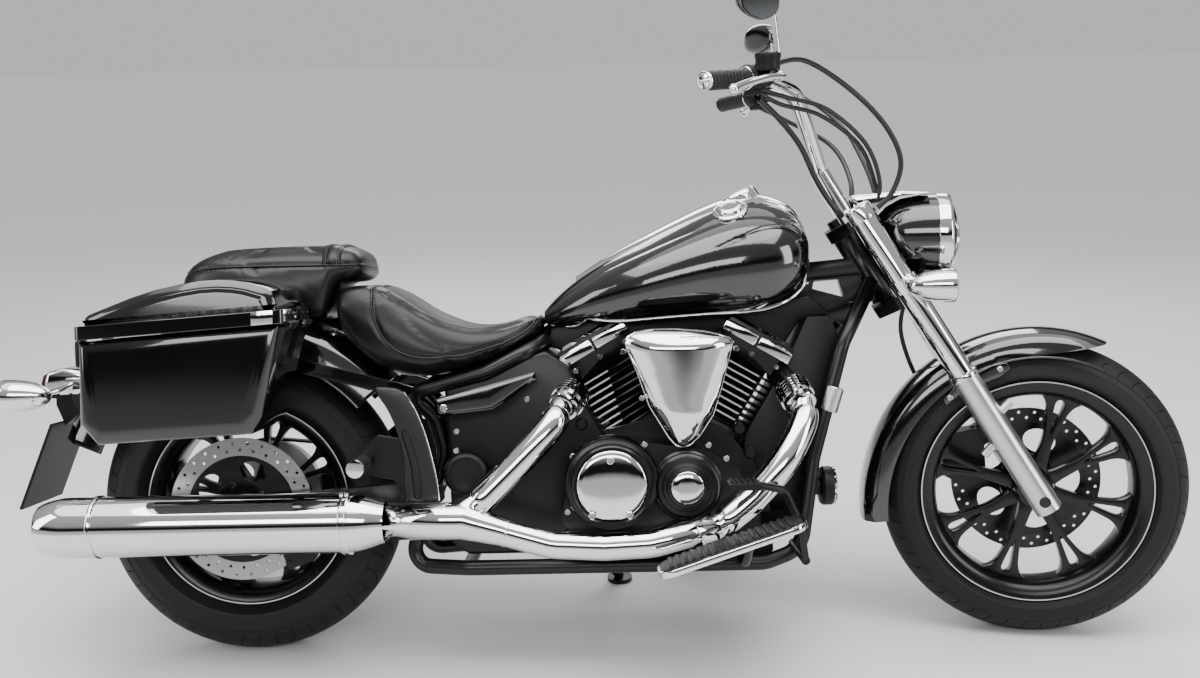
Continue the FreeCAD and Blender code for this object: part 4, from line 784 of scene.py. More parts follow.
# %% Grips
GRIP_END = Vector((1008, -400, 1178))
GRIP_INWARD = (Vector((1120, -256, 1192)) - GRIP_END).normalized()
GRIP_ACROSS = GRIP_INWARD.cross(Vector((0, 0, 1))).normalized()
ALONG_GRIP = Matrix((GRIP_INWARD, GRIP_ACROSS, GRIP_INWARD.cross(GRIP_ACROSS))).transposed().to_4x4()


def on_grip(distance, side, up):
    """Point so far inward from the end of the right grip, to the side of it and up."""
    return GRIP_END + GRIP_INWARD * distance + GRIP_ACROSS * side + Vector((0, 0, up))


rubber = [(3, 13), (3, 17), (5, 18)]
for rib in range(11):
    rubber += [(10 + rib * 10, 18), (11 + rib * 10, 17.4), (12 + rib * 10, 17.4), (13 + rib * 10, 18)]
rubber += [(121, 18), (121, 13)]
bm = bmesh.new()
turned(bm, rubber, GRIP_END, GRIP_INWARD, 40)
turned(bm, [(3.5, 13), (3.5, 0)], GRIP_END, GRIP_INWARD, 24)
piece("grip_sleeves", bm, grip_rubber, "steering", instead_of=("grips",), crease=40.0, both_sides=True)
bm = bmesh.new()
turned(bm, [(4, 12.5), (1.5, 13), (1, 15), (1.5, 17), (4, 18.2), (5, 18.2)], GRIP_END, GRIP_INWARD, 40)
turned(bm, [(118, 18.2), (117, 21), (118, 23), (121, 23.4), (124, 22), (124, 17)], GRIP_END, GRIP_INWARD, 40)
piece("grip_rings", bm, chrome, "steering", crease=50.0, both_sides=True)

# %% Switch housings, reservoir and levers
bm = bmesh.new()
turned(bm, [(124, 13), (124, 23), (127, 26), (141, 26.5), (142, 25.6), (143, 26.5), (160, 26), (164, 23),
            (165, 13)], GRIP_END, GRIP_INWARD, 36)
for distance, side, up, width, depth, height in ((146, 0, -24, 34, 24, 16), (152, 14, 20, 26, 20, 14)):
    block = rounded_box(-width / 2, width / 2, -depth / 2, depth / 2, -height / 2, height / 2, 4.0)
    merge_in(bm, block, Matrix.Translation(on_grip(distance, side, up)) @ ALONG_GRIP)
piece("switch_housings", bm, moulded_plastic, "steering", instead_of=("hand_controls",), crease=40.0,
      both_sides=True)
bm = bmesh.new()
turned(bm, [(0, 0), (0, 20), (3, 23), (24, 24), (26, 25), (31, 25), (33, 23.5), (34, 0)],
       on_grip(144, 36, 10), (0, 0, 1), 28)
turned(bm, [(0, 11), (34, 11)], on_grip(148, 0, -2), on_grip(148, 40, 2) - on_grip(148, 0, -2), 20)
piece("brake_reservoir", bm, moulded_plastic, "steering", crease=40.0)
bm = bmesh.new()
for side in (26, 46):
    bolt(bm, on_grip(144, side, 43.5), (0, 0, 1), 3.2, 2)
piece("reservoir_screws", bm, chrome, "steering")
LEVER = [on_grip(162, 46, 0), on_grip(150, 66, -3), on_grip(110, 67, -2), on_grip(62, 60, -9),
         on_grip(30, 59, -15), on_grip(12, 61, -20)]
tube("lever_blades", through(LEVER, 6), 7.4, chrome, "steering", sides=4, both_sides=True)
bm = bmesh.new()
turned(bm, [(10.5 * -math.cos(math.radians(a)), 10.5 * math.sin(math.radians(a))) for a in range(0, 181, 15)],
       on_grip(12, 61, -20), GRIP_INWARD, 24)
turned(bm, [(-9, 0), (-9, 8), (-7, 10), (7, 10), (9, 8), (9, 0)], on_grip(158, 52, -1), (0, 0, 1), 20)
piece("lever_balls", bm, chrome, "steering", crease=50.0, both_sides=True)

# %% [markdown]
# The mirrors are black shells on a bent stem. A rounded outline, crowned by two insets, gives the
# shell its soft back, and the glass is a second, thinner outline set into its face.

# %% Mirrors
MIRROR_TOP = on_grip(160, 34, 132)
MIRROR_OUT = Vector((-0.55, -0.83, 0)).normalized()
MIRROR_THROUGH = Vector((-0.83, 0.55, 0)).normalized()
MIRROR_HEAD = [(-16, 2), (-12, 20), (10, 34), (50, 42), (88, 39), (112, 26), (121, 4), (114, -16), (90, -29),
               (46, -36), (8, -24), (-12, -12)]


def mirror_outline(scale, depth):
    """The mirror's oval, scaled about its middle, at a depth through the shell."""
    centre = Vector((50, 4))
    spots = [(centre.x + (u - centre.x) * scale, centre.y + (w - centre.y) * scale) for u, w in MIRROR_HEAD]
    return [MIRROR_TOP + MIRROR_OUT * u + Vector((0, 0, w)) + MIRROR_THROUGH * depth for u, w in spots]


bm = bmesh.new()
rings = [[bm.verts.new(p) for p in mirror_outline(scale, depth)]
         for scale, depth in ((0.94, -9), (1.0, -8), (1.0, -2), (0.92, 7), (0.7, 12), (0.4, 14))]
for low, high in zip(rings, rings[1:]):
    for four in zip(low, low[1:] + low[:1], high[1:] + high[:1], high):
        bm.faces.new(four)
bm.faces.new(rings[-1])
bm.faces.new(rings[0])
shell = piece("mirror_shells", bm, lacquer, "steering", instead_of=("mirrors",), crease=60.0, both_sides=True)
smooth = shell.modifiers.new("rounder", "SUBSURF")
smooth.levels = smooth.render_levels = 2
bm = bmesh.new()
bm.faces.new([bm.verts.new(p) for p in mirror_outline(0.88, -9.6)])
piece("mirror_glasses", bm, mirror_glass, "steering", crease=30.0, both_sides=True)
STEM = [on_grip(178, 10, 6), on_grip(178, 32, 34), on_grip(170, 34, 84), on_grip(160, 34, 128)]
tube("mirror_stems", through(STEM, 8), 5.5, chrome, "steering", sides=4, both_sides=True)
spun("mirror_clamps", [(168, 13), (168, 19), (170, 20), (186, 20), (188, 19), (188, 13)], GRIP_END,
     GRIP_INWARD, 32, moulded_plastic, "steering", crease=40.0, both_sides=True)

# %% [markdown]
# ## Tank
# The tank itself is right as packed. What makes it a real one is the pinch-welded seam under
# its belly, the chrome console that runs along its spine and the flush filler cap. The console follows
# the tank exactly: a grid of points is dropped onto the tank, then lifted by a crown across its width.

# %% Console pressed onto the tank
tank_skin = skin(frame["nodes"]["fuel_tank"].data)
CONSOLE = [(704, 10), (740, 24), (800, 38), (880, 52), (960, 62), (1040, 66), (1100, 62), (1150, 52),
           (1182, 36), (1196, 20)]
bm = bmesh.new()
rows = []
for station in through([(x, half_width, 0) for x, half_width in CONSOLE], 14):
    x, half_width = station.x, station.y
    row = []
    for i in range(-8, 9):
        across = i / 8
        y = across * half_width
        hit = tank_skin.ray_cast(Vector((x, y, 1100)), Vector((0, 0, -1)))[0]
        if hit is None:
            hit = Vector((x, y, 760))
        crown = 9.0 * (1 - abs(across) ** 2.6) - 1.0
        row.append(bm.verts.new((x, y, hit.z + crown)))
    rows.append(row)
for low, high in zip(rows, rows[1:]):
    for four in zip(low, low[1:], high[1:], high):
        bm.faces.new(four)
bmesh.ops.smooth_vert(bm, verts=bm.verts[:], factor=0.4, use_axis_z=True)
piece("tank_spine", bm, chrome, instead_of=("tank_console",), crease=60.0)

# %% Speedometer and filler cap
DIAL_AT, DIAL_UP = Vector((1052, 0, 952)), Vector((-16, 0, 32)).normalized()
TICK_OUT = Vector((math.cos(math.radians(26)), 0, math.sin(math.radians(26))))
spun("dial_bezel", [(-14, 50), (0, 48.5), (9, 46), (12.5, 43), (13, 41), (11.5, 39)], DIAL_AT, DIAL_UP,
     56, chrome, crease=50.0)
spun("dial_face", [(9, 40), (9, 0)], DIAL_AT, DIAL_UP, 48, moulded_plastic)
spun("dial_glass", [(11, 40), (12.5, 30), (13.5, 14), (13.8, 0)], DIAL_AT, DIAL_UP, 48, lamp_glass,
     crease=60.0)
bm = bmesh.new()
for step in range(0, 25):
    turn = Matrix.Rotation(math.radians(-120 + step * 10), 3, DIAL_UP)
    spot = DIAL_AT + DIAL_UP * 9.4 + turn @ TICK_OUT * 34
    turned(bm, [(0, 1.2 if step % 2 == 0 else 0.7), (0.4, 0)], spot, DIAL_UP, 6)
piece("dial_ticks", bm, plate_white)
cap_spot, cap_normal, _, _ = tank_skin.ray_cast(Vector((1030, -84, 1100)), Vector((0, 0, -1)))
spun("filler_cap", [(-3, 37), (1.5, 36.5), (3.5, 34), (4, 31), (3, 29.5), (9, 28), (12, 25), (13, 21),
                    (11.5, 18), (11, 12), (11.5, 0)], cap_spot, cap_normal, 56, chrome, crease=40.0)

# %% [markdown]
# The seam is two sheets of steel folded together and painted with the tank; it is drawn in chrome
# so that it shows as a bright line, a painted highlight along the seam. Its route was measured
# along the tank's lower edge; it is pressed onto the skin and stands out as a thin lip.

# %% Pinch-weld seam
SEAM = [(646, -30, 690), (700, -56, 691), (762, -84, 693), (860, -99, 699), (962, -108, 704),
        (1040, -107, 710), (1098, -96, 719), (1140, -84, 738), (1172, -66, 768), (1190, -40, 800)]
lip = []
for point in through(SEAM, 8):
    spot, normal, _, _ = tank_skin.find_nearest(point)
    lip.append(spot + normal * 1.0)
# Chrome seam: painted highlight along the tank's lower edge.
tube("tank_seam", lip, 2.6, chrome, both_sides=True)

# %% [markdown]
# ## Seats
# Each seat is foam under tight leather: a crowned form whose sides pull in between its seams. A row
# of sections is bridged into the foam's shape, remeshed evenly, and blown up a little as cloth, so
# the leather swells between its edges as a real cover does. The swell is capped, because a seat
# cover is stretched over its foam and hardly moves. Seams and piping come after the remesh.

# %% Foam shapes
LEATHER_MESH, SWELL_CAP, PRESSURE, SWELL_FRAMES = 0.005, 7.0 / 1000, 4.0, 20
RIDER_FOAM = [
    # x, underside, half width there, widest, half width there, rim, half width there, middle
    (203, 712, 98, 744, 122, 775, 98, 777),
    (230, 664, 118, 730, 144, 790, 112, 788),
    (285, 614, 138, 700, 158, 790, 122, 774),
    (330, 596, 150, 680, 167, 770, 134, 740),
    (380, 592, 156, 656, 170, 733, 142, 700),
    (440, 602, 154, 648, 166, 698, 140, 674),
    (500, 616, 142, 650, 156, 684, 130, 667),
    (560, 636, 116, 664, 130, 694, 106, 680),
    (605, 658, 78, 686, 92, 714, 72, 705),
    (636, 684, 36, 704, 46, 723, 34, 721),
]
PILLION_FOAM = [
    (-128, 738, 52, 762, 68, 786, 50, 788),
    (-112, 724, 84, 772, 106, 822, 82, 826),
    (-68, 718, 106, 782, 126, 848, 102, 854),
    (0, 716, 116, 786, 136, 854, 112, 861),
    (90, 716, 120, 788, 140, 856, 116, 864),
    (174, 718, 120, 788, 138, 856, 112, 864),
    (188, 718, 118, 790, 137, 856, 112, 864),
    (198, 796, 118, 824, 134, 855, 110, 863),
    (230, 795, 115, 824, 129, 856, 105, 863),
    (256, 794, 98, 822, 112, 850, 90, 855),
    (268, 800, 72, 818, 82, 832, 68, 835),
]


def foam(rows):
    """Bridge a row of sections into one closed form."""
    bm = bmesh.new()
    loops = []
    for x, z0, w0, z1, w1, z2, w2, z3 in rows:
        half = [(w0, z0), (w1, z1), (0.35 * w1 + 0.65 * w2 + 3, 0.35 * z1 + 0.65 * z2), (w2, z2),
                (0.55 * w2, 0.4 * z2 + 0.6 * z3)]
        ring = [(-y, z) for y, z in half] + [(0, z3)] + [(y, z) for y, z in reversed(half)] + [(0, z0)]
        verts = [bm.verts.new((x, y, z)) for y, z in ring]
        loops.append([bm.edges.new(two) for two in zip(verts, verts[1:] + verts[:1])])
    for low, high in zip(loops, loops[1:]):
        bmesh.ops.bridge_loops(bm, edges=low + high)
    bmesh.ops.edgeloop_fill(bm, edges=loops[0])
    bmesh.ops.edgeloop_fill(bm, edges=loops[-1])
    return bm


def upholster(name, node, rows):
    """Foam, remeshed evenly and swollen as cloth, but by no more than the cap."""
    bm = foam(rows)
    seat = piece(name, bm, leather, instead_of=(node,), crease=180.0)
    bpy.context.view_layer.objects.active = seat
    smooth = seat.modifiers.new("round", "SUBSURF")
    smooth.levels = smooth.render_levels = 3
    remesh = seat.modifiers.new("even", "REMESH")
    remesh.mode, remesh.voxel_size, remesh.use_smooth_shade = "VOXEL", LEATHER_MESH, True
    for modifier in ("round", "even"):
        bpy.ops.object.modifier_apply(modifier=modifier)
    before = [v.co.copy() for v in seat.data.vertices]
    cover = seat.modifiers.new("cover", "CLOTH")
    cover.settings.quality = 5
    cover.settings.use_pressure = True
    cover.settings.uniform_pressure_force = PRESSURE
    cover.settings.effector_weights.gravity = 0.0
    for frame_number in range(1, SWELL_FRAMES + 1):
        bpy.context.scene.frame_set(frame_number)
    bpy.ops.object.modifier_apply(modifier="cover")
    bpy.context.scene.frame_set(1)
    for vert, start in zip(seat.data.vertices, before):
        moved = vert.co - start
        if moved.length > SWELL_CAP:
            vert.co = start + moved.normalized() * SWELL_CAP
    print(name, "cover points:", len(seat.data.vertices))
    return seat


def pull_in(thing, lines, reach_mm, depth_mm):
    """Draw the cover in along its seams, as the thread does."""
    back = BIKE.inverted()
    points = [p for line in lines for p in line]
    tree = KDTree(len(points))
    for index, point in enumerate(points):
        tree.insert(point, index)
    tree.balance()
    normals = [v.normal.copy() for v in thing.data.vertices]
    for vert, normal in zip(thing.data.vertices, normals):
        distance = tree.find(back @ vert.co)[2]
        if distance < reach_mm * 2:
            vert.co -= normal * depth_mm / 1000 * math.exp(-(distance / reach_mm) ** 2)


def on_cover(cover, points, lift=0.0, step=5.0):
    """Lay a line through the points onto the cover."""
    line = []
    for point in through(points, step):
        spot, normal, _, _ = cover.find_nearest(point)
        line.append(spot + normal * lift)
    return line


def stitches(name, line):
    """Short lengths of thread along a line, from each point to the next but not on to the third."""
    bars(name, list(zip(line[::2], line[1::2])), 0.8, thread, "chassis", 1)


def finish_cover(seat):
    """Smooth the leather."""
    bpy.context.view_layer.objects.active = seat
    smooth = seat.modifiers.new("leather", "SUBSURF")
    smooth.levels = smooth.render_levels = 1
    bpy.ops.object.modifier_apply(modifier="leather")
    seat.data.shade_smooth()


# %% Rider's seat with its piping
rider_cover = upholster("rider_seat_cover", "rider_seat", RIDER_FOAM)
rider_skin = skin(rider_cover.data)
PIPING = [(631, -50, 722), (614, -80, 694), (559, -122, 660), (475, -152, 636), (401, -160, 632),
          (351, -160, 642), (311, -156, 676), (288, -148, 734), (286, -122, 782), (287, -60, 792),
          (288, 0, 786), (287, 60, 792), (286, 122, 782), (288, 148, 734), (311, 156, 676), (351, 160, 642),
          (401, 160, 632), (475, 152, 636), (559, 122, 660), (614, 80, 694), (631, 50, 722)]
piping_line = on_cover(rider_skin, PIPING)
pull_in(rider_cover, [piping_line], 5.0, 3.5)
finish_cover(rider_cover)
tube("rider_seat_piping", on_cover(skin(rider_cover.data), PIPING, 0.6), 2.6, leather)
inner = [Vector((p.x + (6 if abs(p.y) < 150 else 2), p.y * 0.955, p.z + (2 if p.z < 700 else 0)))
         for p in through(PIPING, 40)]
stitches("rider_seat_stitches", on_cover(skin(rider_cover.data), inner, 0.5, 3.0))

# %% Passenger's seat: piping, strap and double stitching
STRAP_X, STRAP_AIM = 203, 823
pillion_cover = upholster("passenger_seat_cover", "passenger_seat", PILLION_FOAM)
pillion_skin = skin(pillion_cover.data)


def seam_round(lift=0.0):
    """Where a level plane meets the cover, walked round the middle of the seat."""
    line = []
    for degrees in range(0, 360, 3):
        heading = Vector((math.cos(math.radians(degrees)), math.sin(math.radians(degrees)), 0))
        height = 826 - 16 * max(0.0, -heading.x) ** 6
        spot, normal, _, _ = pillion_skin.ray_cast(Vector((78, 0, height)) + heading * 400, -heading)
        line.append(spot + normal * lift)
    return line


def over_strap(x, degrees, lift):
    """Where a ray aimed at the middle of the seat from this angle meets the cover."""
    out = Vector((0, math.sin(math.radians(degrees)), math.cos(math.radians(degrees))))
    spot, normal, _, _ = pillion_skin.ray_cast(Vector((x, 0, STRAP_AIM)) + out * 300, -out)
    return spot + normal * lift


pull_in(pillion_cover, [seam_round()], 5.0, 3.0)
finish_cover(pillion_cover)
pillion_skin = skin(pillion_cover.data)
tube("passenger_seat_piping", seam_round(0.6), 2.4, leather, closed=True)
bm = bmesh.new()
bmesh.ops.create_grid(bm, x_segments=2, y_segments=40, size=1.0)
for vert in bm.verts:
    vert.co = over_strap(STRAP_X + vert.co.x * 19, vert.co.y * 88, 1.6)
strap = piece("passenger_strap", bm, leather, crease=60.0)
body = strap.modifiers.new("leather", "SOLIDIFY")
body.thickness, body.offset = 0.0026, 0.0
for offset in (-15, -11, 11, 15):
    line = [over_strap(STRAP_X + offset, tenths / 10, 3.2) for tenths in range(-880, 881, 8)]
    stitches("strap_stitches_" + str(offset + 20), line)

# %% [markdown]
# ## Engine
# The V-twin is what people look at. Barrels and heads are black with bright fin edges, but the
# bright strips run only along the stretches where light catches them, so their spans are painted
# highlight. The rocker boxes are chromed blocks with chamfered shoulders and a slit between them.
# Each bank is drawn upright over the crankshaft and leaned by thirty degrees.

# %% Banks: painted fin highlights and rocker boxes
CRANK = Vector((912, 0, 350))
FIN_START, FIN_PITCH, ROCKER_START = 160, 15, 333
dress("cylinders", engine_enamel)
boxes, fin_highlights, slits, screws = bmesh.new(), bmesh.new(), bmesh.new(), bmesh.new()
for degrees in (-30, 30):
    lean = Matrix.Translation(CRANK) @ Matrix.Rotation(math.radians(degrees), 4, "Y")
    for low, high in ((-79, -2.5), (2.5, 79)):
        box = rounded_box(low, high, -80, 80, ROCKER_START, ROCKER_START + 41, 0)
        shoulders = [e for e in box.edges if all(v.co.z > ROCKER_START + 30 for v in e.verts)
                     and (abs(e.verts[0].co.y - e.verts[1].co.y) < 1
                          or min(abs(v.co.x) for v in e.verts) > 40)]
        bevel(box, shoulders, 19, 1)
        round_edges(box, 2.2, 3, 20)
        merge_in(boxes, box, lean)
    merge_in(slits, rounded_box(-76, 76, -76, 76, ROCKER_START - 1, ROCKER_START + 34, 2), lean)
    # Bright strips on part of each fin edge: painted highlight where light falls on the fins.
    for index in range(1, 9):
        z = FIN_START + index * FIN_PITCH
        span = (-72, -2 - (8 - index) * 4) if degrees < 0 else (-44 + (8 - index) * 5, 40)
        merge_in(fin_highlights, rounded_box(*span, -75.8, -74, z + 0.6, z + 4.4, 0.5, 1), lean)
        merge_in(fin_highlights, rounded_box(-span[1], -span[0], 74, 75.8, z + 0.6, z + 4.4, 0.5, 1), lean)
    for x in (-60, 0, 60):
        for side in (-1, 1):
            spot = lean @ Vector((x, side * 84, ROCKER_START - 16))
            bolt(screws, spot, (0, side, 0), 6, 5)
piece("rocker_boxes", boxes, chrome, instead_of=("rocker_covers",), crease=25.0)
piece("rocker_slits", slits, engine_enamel)
piece("painted_fin_highlights", fin_highlights, satin_aluminium)
piece("head_screws", screws, chrome)

# %% [markdown]
# The clutch cover is a turned housing with a mirror-bright plate, cut off flat at its foot. The
# smaller cover ahead of it steps down in rings to a plain chrome disc. Their screws sit where the
# real ones do, because an engine's screws are its most familiar pattern.

# %% Right-hand covers
dress("engine_cases", engine_enamel, 6.0, crease=28.0, segments=3)
dress("engine_covers", engine_enamel, 3.0, crease=28.0, segments=3)


def cut_flat(bm, z):
    """Cut a turned cover off flat at a height, and close the cut."""
    bmesh.ops.remove_doubles(bm, verts=bm.verts[:], dist=0.01)
    cut = bmesh.ops.bisect_plane(bm, geom=bm.verts[:] + bm.edges[:] + bm.faces[:], plane_co=(0, 0, z),
                                 plane_no=(0, 0, -1), clear_outer=True)
    rim = [e for e in cut["geom_cut"] if isinstance(e, bmesh.types.BMEdge)]
    bmesh.ops.edgeloop_fill(bm, edges=rim)


CLUTCH, SMALL = Vector((772, 0, 378)), Vector((922, 0, 370))
RIGHT = (0, -1, 0)
bm = bmesh.new()
turned(bm, [(190, 96), (214, 95), (221, 92), (223, 86), (224, 82), (232, 81), (240, 79), (243, 76),
            (243, 72), (240, 70)], CLUTCH, RIGHT, 72)
turned(bm, [(240, 70), (238, 0)], CLUTCH, RIGHT, 72)
cut_flat(bm, 306)
piece("clutch_housing", bm, wheel_enamel, crease=30.0)
bm = bmesh.new()
turned(bm, [(238, 69.5), (244, 69), (246, 67), (248, 58), (250, 40), (251, 20), (251.3, 0)], CLUTCH,
       RIGHT, 72)
cut_flat(bm, 312)
piece("clutch_plate", bm, chrome, crease=40.0)
bm = bmesh.new()
turned(bm, [(214, 66), (220, 65), (223, 61), (228, 58), (229, 50), (233, 48), (234, 42), (238, 40),
            (239, 34), (236, 33), (236, 0)], SMALL, RIGHT, 64)
turned(bm, [(190, 72), (212, 71), (216, 67), (216, 60)], SMALL, RIGHT, 64)
piece("small_cover_rings", bm, wheel_enamel, crease=30.0)
spun("small_cover_disc", [(236, 32.6), (240, 32), (241.5, 30), (243, 18), (243.5, 0)], SMALL, RIGHT, 56,
     chrome, crease=40.0)
bm = bmesh.new()
bolts(bm, ((770, 429), (732, 320), (806, 320)), -248, RIGHT, 7.5, 5)
bolts(bm, ((682, 318), (694, 430), (840, 452), (858, 275), (1004, 420), (1042, 330), (1000, 274),
           (968, 448), (720, 268), (905, 268), (985, 390)), -190, RIGHT, 6.5, 5.5)
piece("cover_screws", bm, chrome)
bm = bmesh.new()
for spot in ((712, -96, 486), (1040, -96, 470), (1062, -96, 420)):
    turned(bm, [(0, 13), (16, 13), (20, 10), (20, 0)], spot, RIGHT, 24)
piece("case_bosses", bm, engine_enamel, crease=30.0)

# %% Left-hand covers
LEFT_SIDE = (0, 1, 0)
spun("stator_cover", [(190, 93), (196, 92), (203, 88), (206, 82), (206, 74)], (912, 0, 362), LEFT_SIDE,
     72, wheel_enamel, crease=30.0)
bm = bmesh.new()
turned(bm, [(200, 74), (208, 73), (211, 66), (213, 36), (213.5, 0)], (912, 0, 362), LEFT_SIDE, 72)
turned(bm, [(172, 77), (180, 75), (183, 66), (184, 0)], (640, 0, 330), LEFT_SIDE, 64)
piece("left_cover_plates", bm, chrome, crease=40.0)
bm = bmesh.new()
bolts(bm, ((694, 430), (840, 452), (1004, 420), (1042, 330), (1000, 274), (760, 268), (858, 268)), 150,
      LEFT_SIDE, 6.5, 5.5)
for turn_of_bolt in range(5):
    a = math.radians(turn_of_bolt * 72 + 18)
    bolt(bm, (640 + 60 * math.cos(a), 182, 330 + 60 * math.sin(a)), LEFT_SIDE, 5, 4)
piece("left_cover_screws", bm, axle_steel)

# %% [markdown]
# ## Air cleaner
# The cover is an upturned triangle of chromed steel, crowned like a shield with two soft creases
# that run together at its foot. A flat grid is stretched to the outline row by row, and its depth
# follows one rule across: out to the crease quickly, then nearly flat between the creases.

# %% Air cleaner cover
AIR_LEFT = [(448, 911), (452, 902), (468, 888), (500, 869), (530, 851), (600, 827), (645, 808), (660, 805),
            (670, 811), (678, 826), (683, 858)]
AIR_RIGHT = [(448, 921), (452, 931), (468, 949), (512, 978), (560, 993), (645, 1016), (655, 1019),
             (664, 1011), (671, 990), (678, 960), (683, 906)]
AIR_FOOT, AIR_TOP = AIR_LEFT[0][0], AIR_LEFT[-1][0]


def at_height(table, z):
    """Read a table of (z, x) points at a height, straight between its points."""
    for (z0, x0), (z1, x1) in zip(table, table[1:]):
        if z <= z1:
            return x0 + (x1 - x0) * (z - z0) / (z1 - z0)
    return table[-1][1]


bm = bmesh.new()
bmesh.ops.create_grid(bm, x_segments=28, y_segments=40, size=1.0)
for vert in bm.verts:
    across, rise = vert.co.x, (vert.co.y + 1) / 2
    z = AIR_FOOT + (AIR_TOP - AIR_FOOT) * rise
    left, right_side = at_height(AIR_LEFT, z), at_height(AIR_RIGHT, z)
    off = abs(across)
    swell = 1 - ((off - 0.4) / 0.6) ** 1.7 if off > 0.4 else 1 + 0.1 * (1 - (off / 0.4) ** 2)
    ends = min(1.0, (AIR_TOP - z) / 34) ** 0.5 * min(1.0, (z - AIR_FOOT) / 70) ** 0.45
    vert.co = ((left + right_side) / 2 + across * (right_side - left) / 2, -206 - 30 * swell * ends, z)
border = [e for e in bm.edges if e.is_boundary]
grown = bmesh.ops.extrude_edge_only(bm, edges=border)["geom"]
bmesh.ops.translate(bm, verts=[v for v in grown if isinstance(v, bmesh.types.BMVert)], vec=(0, 6, 0))
piece("air_cleaner_cover", bm, chrome, instead_of=("air_cleaner",), crease=50.0)
outline = [(x, z) for z, x in AIR_LEFT] + [(x, z) for z, x in reversed(AIR_RIGHT)]
middle = Vector((912, 590))


def grown_outline(share):
    """The cover's outline, scaled about its middle."""
    return [(middle.x + (x - middle.x) * share, middle.y + (z - middle.y) * share) for x, z in outline]


bm = bmesh.new()
slab(bm, grown_outline(0.96), -158, -202)
turned(bm, [(0, 30), (170, 30)], (912, 0, 600), RIGHT, 32)
for way in (-1, 1):
    turned(bm, [(0, 22), (103, 22)], (912, -4, 600), (way * 96, 0, 52), 28)
piece("air_box", bm, engine_enamel, crease=30.0)
bm = bmesh.new()
slab(bm, grown_outline(1.025), -196, -201)
round_edges(bm, 1.6, 2, 30)
piece("air_cleaner_rim", bm, chrome, crease=30.0)
bm = bmesh.new()
bolts(bm, ((836, 546), (984, 544), (800, 640), (1026, 642)), -196, RIGHT, 6, 6)
piece("air_cleaner_screws", bm, chrome)

# %% [markdown]
# ## Exhaust
# The headers leave their ports as black elbows and run under chromed heat shields: thin half-open
# tubes a few millimetres proud of the pipe, open towards the engine. A shield is swept: an arc
# is carried along the pipe's line, always facing away from the bike. The silencer is a turned
# piece, so its whole length is one profile.

# %% Headers and shields
FRONT_HEADER = [(1128, -52, 584), (1172, -146, 524), (1128, -205, 430), (1060, -218, 350), (985, -228, 292),
                (940, -230, 275)]
REAR_HEADER = [(702, -46, 566), (668, -156, 520), (640, -195, 478), (505, -222, 345), (450, -230, 318)]
dress("exhaust_pipes", chrome, crease=40.0, split=(engine_enamel, lambda p: p.y > -150 and p.z > 470))
SHIELD_RADIUS, SHIELD_HALF_ARC, SHIELD_WALL = 29.5, 126, 1.6


def shield(bm, line):
    """Sweep an arc of sheet along a line, its middle facing outward to the right."""
    strips = []
    for index, spot in enumerate(line):
        run = (line[min(index + 1, len(line) - 1)] - line[max(index - 1, 0)]).normalized()
        out = Vector((0, -1, 0))
        out = (out - run * out.dot(run)).normalized()
        side = run.cross(out)
        edge = min(index, len(line) - 1 - index)
        r = SHIELD_RADIUS - ((3.0, 1.0, 0.3)[edge] if edge < 3 else 0)
        arc = [math.radians(a) for a in range(-SHIELD_HALF_ARC, SHIELD_HALF_ARC + 1, SHIELD_HALF_ARC // 9)]
        strips.append([bm.verts.new(spot + (out * math.cos(a) + side * math.sin(a)) * r) for a in arc])
    for low, high in zip(strips, strips[1:]):
        for a, b, c, d in zip(low, low[1:], high[1:], high):
            bm.faces.new((a, b, c, d))
    bmesh.ops.recalc_face_normals(bm, faces=bm.faces[:])
    bmesh.ops.solidify(bm, geom=bm.faces[:], thickness=SHIELD_WALL)


for name, line in (("front_header_shield", [p for p in through(FRONT_HEADER, 7) if p.z < 512 and p.x > 992]),
                   ("rear_header_shield", [p for p in through(REAR_HEADER, 7) if 500 < p.x < 664])):
    bm = bmesh.new()
    shield(bm, line)
    piece(name, bm, chrome, crease=40.0)
bm = bmesh.new()
for start, end in (((699, -92, 552), (661, -170, 508)), ((1150, -100, 556), (1168, -158, 512))):
    start, end = Vector(start), Vector(end)
    fins = [(0, 25)]
    for fin in range(5):
        fins += [(4 + fin * 8, 29), (4 + fin * 8, 36), (8 + fin * 8, 36), (8 + fin * 8, 29)]
    fins += [(46, 29), (46, 33), (58, 33), (60, 31), (60, 25)]
    turned(bm, fins, start, end - start, 36)
piece("port_collars", bm, chrome, crease=30.0)
bm = bmesh.new()
for spot, run in (((944, -229.6, 277), (41, 2, 17)), ((560, -230, 286), (-90, -2, 26))):
    turned(bm, [(-2.2, 27), (-2, 29.4), (-0.6, 29.8), (-0.6, 28.2), (0.6, 28.2), (0.6, 29.8), (2, 29.4),
                (2.2, 27)], spot, run, 48)
piece("pipe_seams", bm, chrome, crease=30.0)

